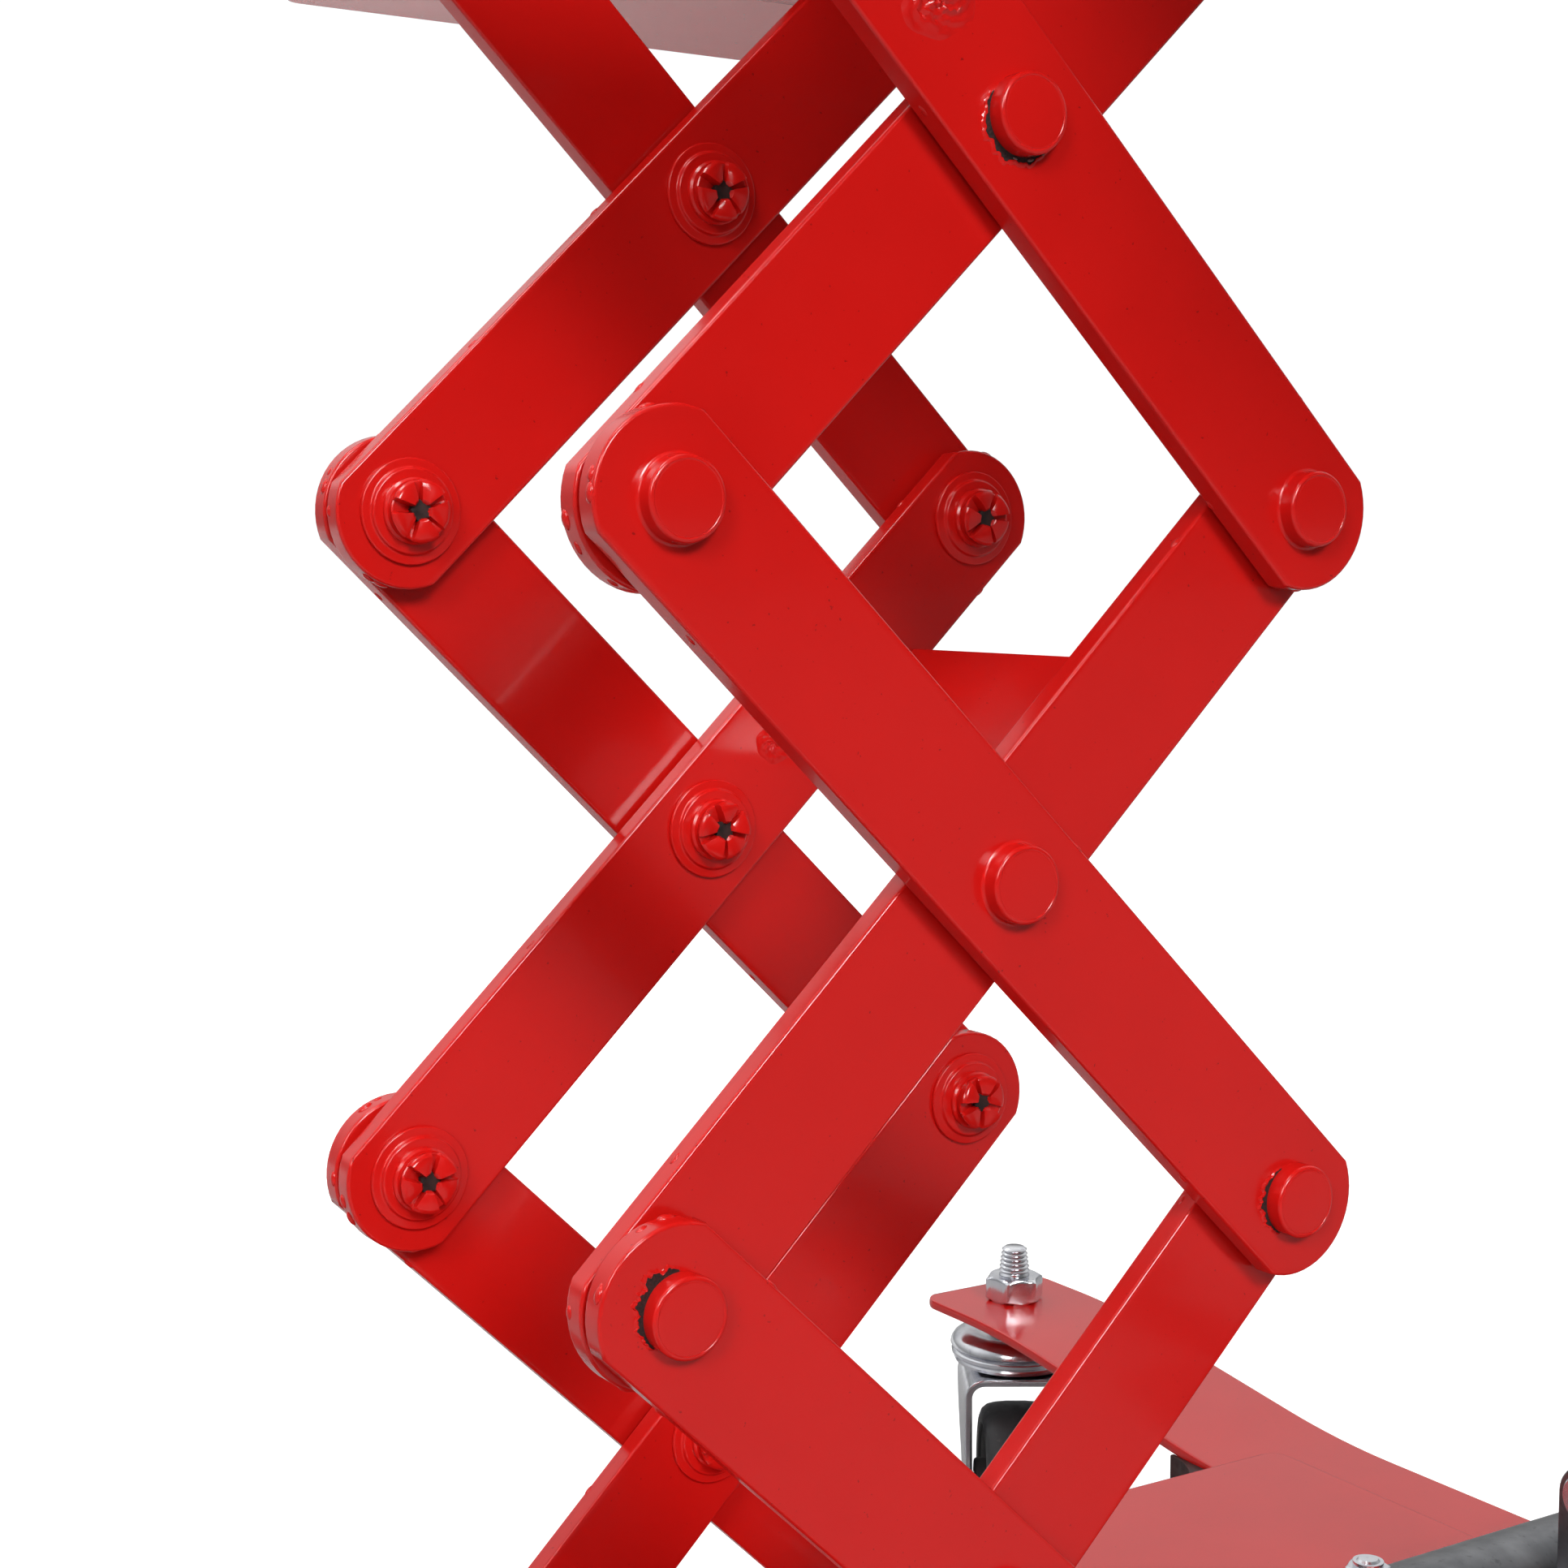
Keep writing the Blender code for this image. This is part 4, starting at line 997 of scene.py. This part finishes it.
def roller_shape(start, end, radius):
    """A turned roller with a shallow recess in each face and rounded running edges."""
    bore = BAR_HOLE_R
    profile = [(bore, 0), (bore + 3.2, 0), (bore + 3.6, -ROLLER_STEP), (radius - 4.6, -ROLLER_STEP)]
    profile += [(radius - 4.2, 0), (radius - 1.0, 0), (radius - 0.3, -0.3), (radius, -1.0)]
    return lathe(both_ways(raised(profile, end), (start + end) / 2), 64)


def build_rollers():
    """A roller on every rolling pivot, and the upper rollers' stepped pins."""
    inner = LAYER_Y["inner"]
    for side in NEAR_FAR:
        for kind, count in (("base_roller_", 0), ("top_roller_", 3)):
            node = kind + side
            shape = roller_shape(*outward(node), half("top_roller_near").z)
            make(node, shape, steel, node, at_pivot(RIGHT, count, side), [node])
        start, end = outward("top_roller_" + side)
        pin = raised([(0, 0.2), (4.6, 0.2), (5.4, -0.5), (PIN_R, -1.0)], end)
        pin += raised([(PIN_R, -0.4), (8.6, -0.4), (9.0, -0.8)], start)
        pin += raised([(9.0, 3.0), (PIN_R, 2.9), (PIN_R, -2.9), (8.2, -3.0), (8.2, -5.2)], inner)
        pin += raised([(7.6, -5.6), (0, -5.6)], inner)
        make("top_roller_pin_" + side, lathe(pin, 48), zinc, "upper_inner", at_pivot(RIGHT, 3, side))


# The drive: crosshead, cylinder and foot pump

CROSSHEAD_HALF_Y = 38.0
CROSSHEAD_SCREW_Y = 24.0
SCREW_TOP = ((0, 5.9), (3.4, 5.9), (3.8, 5.2), (3.8, 0), (0, 0))
ROD_FROM_PIVOT = 13.3          # from the rolling pivot to the rod's end
PUMP_HALF_X = 20.0
PUMP_BACK_Y = -18.3
PUMP_BODY_TOP = 118.0
PUMP_BORE_R = 7.5
PUMP_BORE_DEPTH = 25.5
PUMP_SEAL = ((7.05, 0.9), (9.6, 0.9), (10.2, 0.2), (10.2, -0.2), (7.05, -0.2))
PUMP_SCREW = ((0, 4.4), (1.9, 4.4), (2.1, 6.6), (3.7, 6.6), (4.2, 6.0), (4.2, 0), (0, 0))
PEDAL_PIN_Y = -27.0
PEDAL_PIN_Z = high("pump_block").z - 9.0
PIN_CLIP = ((3.2, 1.2), (6.4, 1.2), (6.8, 0.8), (6.8, 0.2), (3.2, 0.2))
VALVE_STEM = ((0, 9.6), (4.0, 9.6), (4.0, 6.2), (3.4, 5.8), (4.0, 5.4), (4.0, 4.6), (3.4, 4.2),
              (4.0, 3.8), (4.0, 0.05), (0, 0.05))


def build_crosshead():
    """The block between the rolling lower pivots, with a shaft to each and two screws on top."""
    size = half("crosshead")
    block = slab([rounded_rectangle(size.x, CROSSHEAD_HALF_Y, 3)], -size.z, size.z, 1.2, 3)
    make("crosshead", block, steel, "crosshead", spot(RIGHT, 0, GROUND_LEVEL), ["crosshead"])
    inside = CROSSHEAD_HALF_Y - 1.5
    for side in NEAR_FAR:
        top = LAYER_Y["outer"] - BAR_HALF_THICK - 0.3
        foot = outward("base_roller_" + side)[1] + 0.5
        shaft = head_profile(0, 4) + [(HEAD_R, OUTER_FACE + 0.3), (PIN_R, OUTER_FACE + 0.2)]
        shaft += [(PIN_R, top), (8.7, top), (9.0, top - 0.4), (9.0, foot + 0.4), (8.7, foot)]
        shaft += [(PIN_R, foot), (PIN_R, inside), (0, inside)]
        make("crosshead_shaft_" + side, lathe(shaft, 48), zinc, "crosshead", at_pivot(RIGHT, 0, side))
    screw = joined(nut_shape(12.5, 5.0), lathe(SCREW_TOP, 24))
    for side, sign in NEAR_FAR.items():
        place = spot(RIGHT, sign * CROSSHEAD_SCREW_Y, GROUND_LEVEL + size.z)
        make("crosshead_screw_" + side, screw, zinc, "crosshead", place)


def build_cylinder():
    """Barrel, end weld, gland, wiper and ports on the base; rod and lock nut on the crosshead."""
    start, end = low("cylinder_barrel").x, high("cylinder_barrel").x
    radius = high("cylinder_barrel").y
    axis = spot(0, 0, GROUND_LEVEL) @ ALONG_X
    barrel = [(0, 0), (radius - 3.5, 0), (radius - 1.2, -1.4), (radius - 0.9, -7.4)]
    barrel += [(radius - 1.9, -8.0), (radius - 1.9, -9.2), (radius, -10.2)]
    barrel = raised(barrel, end) + [(radius, start + 1.0), (radius - 0.8, start), (15, start)]
    barrel += [(15, end - 9), (0, end - 9)]
    make("cylinder_barrel", lathe(barrel, 72), steel, "base", axis, ["cylinder_barrel"])
    rings = []
    for i in range(120):
        angle = 2 * math.pi * i / 120
        bead = circle(radius - 1.3, end - 8.6, 1.5 + 0.16 * math.cos(angle * 34), 8)
        rings.append([(*polar(reach, angle), height) for reach, height in bead])
    make("cylinder_weld", loft(rings, endless=True), steel, "base", axis)
    gland = [(radius, 3.6), (radius - 1.0, 3.2), (radius - 1.0, 2.6), (radius, 2.2), (radius, 1.2)]
    gland += [(radius - 1.2, 0), (10.8, 0), (10.6, 1.1), (8.4, 1.1)]
    gland_start, gland_end = low("cylinder_gland").x, high("cylinder_gland").x
    gland = [(8.4, gland_end), (radius, gland_end)] + raised(gland, gland_start)
    make("cylinder_gland", lathe(gland, 72), steel, "base", axis, ["cylinder_gland"])
    wiper = raised([(8.25, 1.0), (10.5, 1.0), (10.3, 0.1), (8.6, -0.3), (8.25, 0)], gland_start)
    make("rod_wiper", lathe(wiper, 48), rubber, "base", axis)
    rod_start = RIGHT + ROD_FROM_PIVOT
    rod = raised([(0, 0), (14.6, 0), (14.6, -12), (8, -12)], high("piston_rod").x)
    rod += raised([(8, 6), (7.2, 5), (7.2, 0), (0, 0)], rod_start)
    make("piston_rod", lathe(rod, 56), chrome, "crosshead", axis, ["piston_rod"])
    make("rod_lock_nut", moved(nut_shape(22, 6), spot(0, 0, rod_start - 0.1)), zinc, "crosshead", axis)
    port = raised([(0, 6.4), (2.6, 6.4), (3.2, 5.8), (4.2, 5.8), (4.2, -1), (0, -1)], radius)
    plug = joined(lathe(port, 28), moved(nut_shape(11, 3.6), spot(0, 0, radius + 0.8)))
    for name, x in (("front", start + 9.5), ("back", end - 18.5)):
        make("cylinder_port_" + name, plug, zinc, "base", spot(x, 0, GROUND_LEVEL))


def pedal_pivot(beside=0.0):
    """The middle of the pedal's pin, or a place beside it along the pin."""
    return spot(centre("pedal_lever").x + beside, PEDAL_PIN_Y, PEDAL_PIN_Z)


def build_pump():
    """The pump body with its ears, screws and the pedal's pin, all on the base."""
    front, bottom = low("pump_block").y, low("pump_block").z
    x, half_y = centre("pedal_lever").x + 4, (PUMP_BACK_Y - front) / 2
    y = front + half_y
    plunger = centre("pump_plunger")
    bore = circle(plunger.x - x, plunger.y - y, PUMP_BORE_R, 36)
    block = slab([rounded_rectangle(PUMP_HALF_X, half_y, 3.5), bore], bottom, PUMP_BODY_TOP, 1.3, 3)
    make("pump_block", block, steel, "base", spot(x, y, 0), ["pump_block"])
    mouth = spot(plunger.x, plunger.y, PUMP_BODY_TOP)
    # A near-black disc at the bottom of the bore: painted shade of its depth.
    floor = lathe(both_ways([(0, 1.0), (PUMP_BORE_R + 0.1, 1.0)]), 32)
    make("pump_bore_floor", floor, hole_shade, "base", mouth @ spot(0, 0, -PUMP_BORE_DEPTH))
    make("pump_seal", lathe(PUMP_SEAL, 40), rubber, "base", mouth)
    ear_edge = [(-9, PUMP_BODY_TOP - 1 - PEDAL_PIN_Z), (9, PUMP_BODY_TOP - 1 - PEDAL_PIN_Z)]
    ear = slab([ear_edge + arc(0, 0, 9, 0, 180, 18)], -3, 3, 0.8, 2)
    for name, sign in (("left", -1), ("right", 1)):
        make("pump_ear_" + name, ear, steel, "base", pedal_pivot(sign * 8.6) @ FACE_X)
        place = pedal_pivot(sign * 11.6) @ spin(90 * sign, "Y")
        make("pedal_pin_clip_" + name, lathe(PIN_CLIP, 36), zinc, "base", place)
    pin = both_ways([(0, 14.1), (3.2, 14.1), (4.0, 13.4)])
    make("pedal_pin", lathe(pin, 32), zinc, "base", pedal_pivot() @ ALONG_X)
    for i, (dx, dy) in enumerate(((-11, -18), (15, -18), (15, 18))):
        place = spot(x + dx, y + dy, PUMP_BODY_TOP)
        make(f"pump_screw_{i}", lathe(PUMP_SCREW, 28), zinc, "base", place)


def build_pedal():
    """The foot lever on its pin, and a ribbed pad on its end."""
    size, reach = half("pedal_lever"), low("pedal_lever").y - PEDAL_PIN_Y
    edge = [*arc(0, 0, 8, -42, 42, 10), (-4, size.z), (reach + 1.5, size.z), (reach, size.z - 1.5)]
    edge += [(reach, 1.5 - size.z), (reach + 1.5, -size.z), (-4, -size.z)]
    lever = slab([edge, circle(0, 0, 4.3, 28)], -size.x, size.x, 0.4, 2)
    make("pedal_lever", lever, enamel, "pedal", pedal_pivot() @ FACE_X, ["pedal_lever"])
    size, bottom, top = half("pedal_pad"), low("pedal_pad").z, high("pedal_pad").z
    pad = slab([rounded_rectangle(size.x, size.y, 5)], bottom, top - 1.6, 1.0, 3)
    rib = slab([rounded_rectangle(size.x - 4, 1.4, 1.2, 3)], top - 2.2, top - 0.05, 0.6, 2)
    ribs = [moved(rib, spot(0, (size.y - 6) * (i / 3 - 1), 0)) for i in range(7)]
    place = spot(centre("pedal_lever").x, centre("pedal_pad").y, 0)
    make("pedal_pad", joined(pad, *ribs), rubber, "pedal", place, ["pedal_pad"])


def build_plunger():
    """A chromed plunger with a tapered top and a groove."""
    middle, top = centre("pump_plunger"), high("pump_plunger").z
    profile = [(0, 0), (2.4, 0), (3.0, -0.4), (6.7, -3.6), (7.0, -4.4), (7.0, -8)]
    profile = raised(profile + [(6.3, -8.4), (6.3, -10.4), (7.0, -10.8)], top)
    profile += raised([(7.0, 0), (0, 0)], low("pump_plunger").z)
    place = spot(middle.x, middle.y, 0)
    make("pump_plunger", lathe(profile, 48), chrome, "plunger", place, ["pump_plunger"])


def build_valve():
    """The release screw: a stem and a knob with a fluted grip."""
    node = "release_valve"
    length = 2 * half(node).x
    place = spot(low(node).x, centre(node).y, centre(node).z) @ ALONG_X
    make("release_stem", lathe(VALVE_STEM, 32), zinc, node, place)
    rings = []
    knob = ((9.0, 8.4, 0.0), (9.6, 9.1, 0.3), (10.4, 9.4, 0.75))
    knob += ((length - 1.4, 9.4, 0.75), (length - 0.6, 9.0, 0.3), (length - 0.05, 8.2, 0.0))
    for height, radius, flute in knob:
        angles = [2 * math.pi * i / 96 for i in range(96)]
        rings.append([(*polar(radius - flute * (0.5 + 0.5 * math.cos(16 * angle)), angle), height)
                      for angle in angles])
    make("release_knob", loft(rings), zinc, node, place, [node])


build_deck()
build_rails()
build_rollers()
build_crosshead()
build_cylinder()
build_pump()
build_pedal()
build_plunger()
build_valve()


# Floor, light and camera

FLOOR_REACH = 30.0       # metres
FLOOR_GLOW = 0.85        # only the camera sees it
SKY_WHITE = 1.05         # what the camera sees of the sky
# the sky's fades along an axis: start, end, and the strength at each
SKY_FADES = (("Y", -0.7, 0.35, 0.05, 1.0), ("Z", 0.05, 0.55, 0.26, 1.0))


def build_floor():
    """A wide pale floor, with a glow of its own for the camera that takes it near to white."""
    paint = bpy.data.materials.new("pale_floor")
    paint.use_nodes = True
    nodes, links = paint.node_tree.nodes, paint.node_tree.links
    shader = nodes["Principled BSDF"]
    noise = nodes.new("ShaderNodeTexNoise")
    noise.inputs["Scale"].default_value = 1.5
    grey = map_range(nodes, links, noise.outputs["Fac"], 0, 1, 0.40, 0.43)
    links.new(grey, shader.inputs["Base Color"])
    shader.inputs["Roughness"].default_value = 0.9
    shader.inputs["Specular IOR Level"].default_value = 0.1
    shader.inputs["Emission Color"].default_value = (1, 1, 1, 1)
    seen = nodes.new("ShaderNodeLightPath").outputs["Is Camera Ray"]
    glow = map_range(nodes, links, seen, 0, 1, 0, FLOOR_GLOW)
    links.new(glow, shader.inputs["Emission Strength"])
    mesh = bpy.data.meshes.new("floor")
    reach = FLOOR_REACH
    mesh.from_pydata([(-reach, -reach, 0), (reach, -reach, 0), (reach, reach, 0), (-reach, reach, 0)],
                     [], [(0, 1, 2, 3)])
    mesh.materials.append(paint)
    floor = bpy.data.objects.new("floor", mesh)
    bpy.context.scene.collection.objects.link(floor)


def build_sky():
    """A studio round the object: white behind it and above it, dimmer in front."""
    world = bpy.data.worlds.new("studio")
    world.use_nodes = True
    nodes, links = world.node_tree.nodes, world.node_tree.links
    sky = nodes["Background"]
    place = nodes.new("ShaderNodeTexCoord")
    split = nodes.new("ShaderNodeSeparateXYZ")
    links.new(place.outputs["Generated"], split.inputs["Vector"])
    product = nodes.new("ShaderNodeMath")
    product.operation = "MULTIPLY"
    for i, (axis, *limits) in enumerate(SKY_FADES):
        fade = map_range(nodes, links, split.outputs[axis], *limits)
        links.new(fade, product.inputs[i])
    links.new(product.outputs["Value"], sky.inputs["Strength"])
    white = nodes.new("ShaderNodeBackground")
    white.inputs["Strength"].default_value = SKY_WHITE
    seen = nodes.new("ShaderNodeLightPath")
    mix = nodes.new("ShaderNodeMixShader")
    links.new(seen.outputs["Is Camera Ray"], mix.inputs["Fac"])
    links.new(sky.outputs["Background"], mix.inputs[1])
    links.new(white.outputs["Background"], mix.inputs[2])
    links.new(mix.outputs["Shader"], nodes["World Output"].inputs["Surface"])
    for background in (sky, white):
        background.inputs["Color"].default_value = (1, 1, 1, 1)
    bpy.context.scene.world = world


SCISSORS = (-0.055, 0.0, 0.33)


def soft_box(name, place, width, height, watts, spread=180, aim=SCISSORS):
    """An area light that faces a point; its spread is in degrees."""
    light = bpy.data.lights.new(name, "AREA")
    light.shape = "RECTANGLE"
    light.size, light.size_y = width, height
    light.energy = watts
    light.spread = math.radians(spread)
    obj = bpy.data.objects.new(name, light)
    obj.location = place
    obj.rotation_mode = "QUATERNION"
    obj.rotation_quaternion = (Vector(aim) - Vector(place)).to_track_quat("-Z", "Y")
    bpy.context.scene.collection.objects.link(obj)


def build_camera():
    """The camera, to the near left of the scissors and turned a little down."""
    lens = bpy.data.cameras.new("camera")
    lens.lens = 55.9
    lens.sensor_width = 36.0
    lens.clip_start = 0.02
    camera = bpy.data.objects.new("camera", lens)
    camera.location = (-0.3744, -0.4589, 0.4021)
    camera.rotation_mode = "QUATERNION"
    camera.rotation_quaternion = Vector((0.5310, 0.8426, -0.0896)).to_track_quat("-Z", "Y")
    bpy.context.scene.collection.objects.link(camera)
    bpy.context.scene.camera = camera


build_floor()
build_sky()
soft_box("key", (-1.9, -1.5, 1.5), 0.8, 1.0, 2.3, 50)
soft_box("fill", (-0.5, -2.5, 1.8), 1.0, 0.7, 3.6, 42)
soft_box("top", (-0.75, -0.25, 2.2), 0.5, 0.5, 11)
soft_box("back", (0.1, 2.4, 2.0), 1.2, 1.2, 40, 90, (0.1, 2.4, 0.0))
build_camera()
bpy.context.scene.view_settings.view_transform = "Standard"
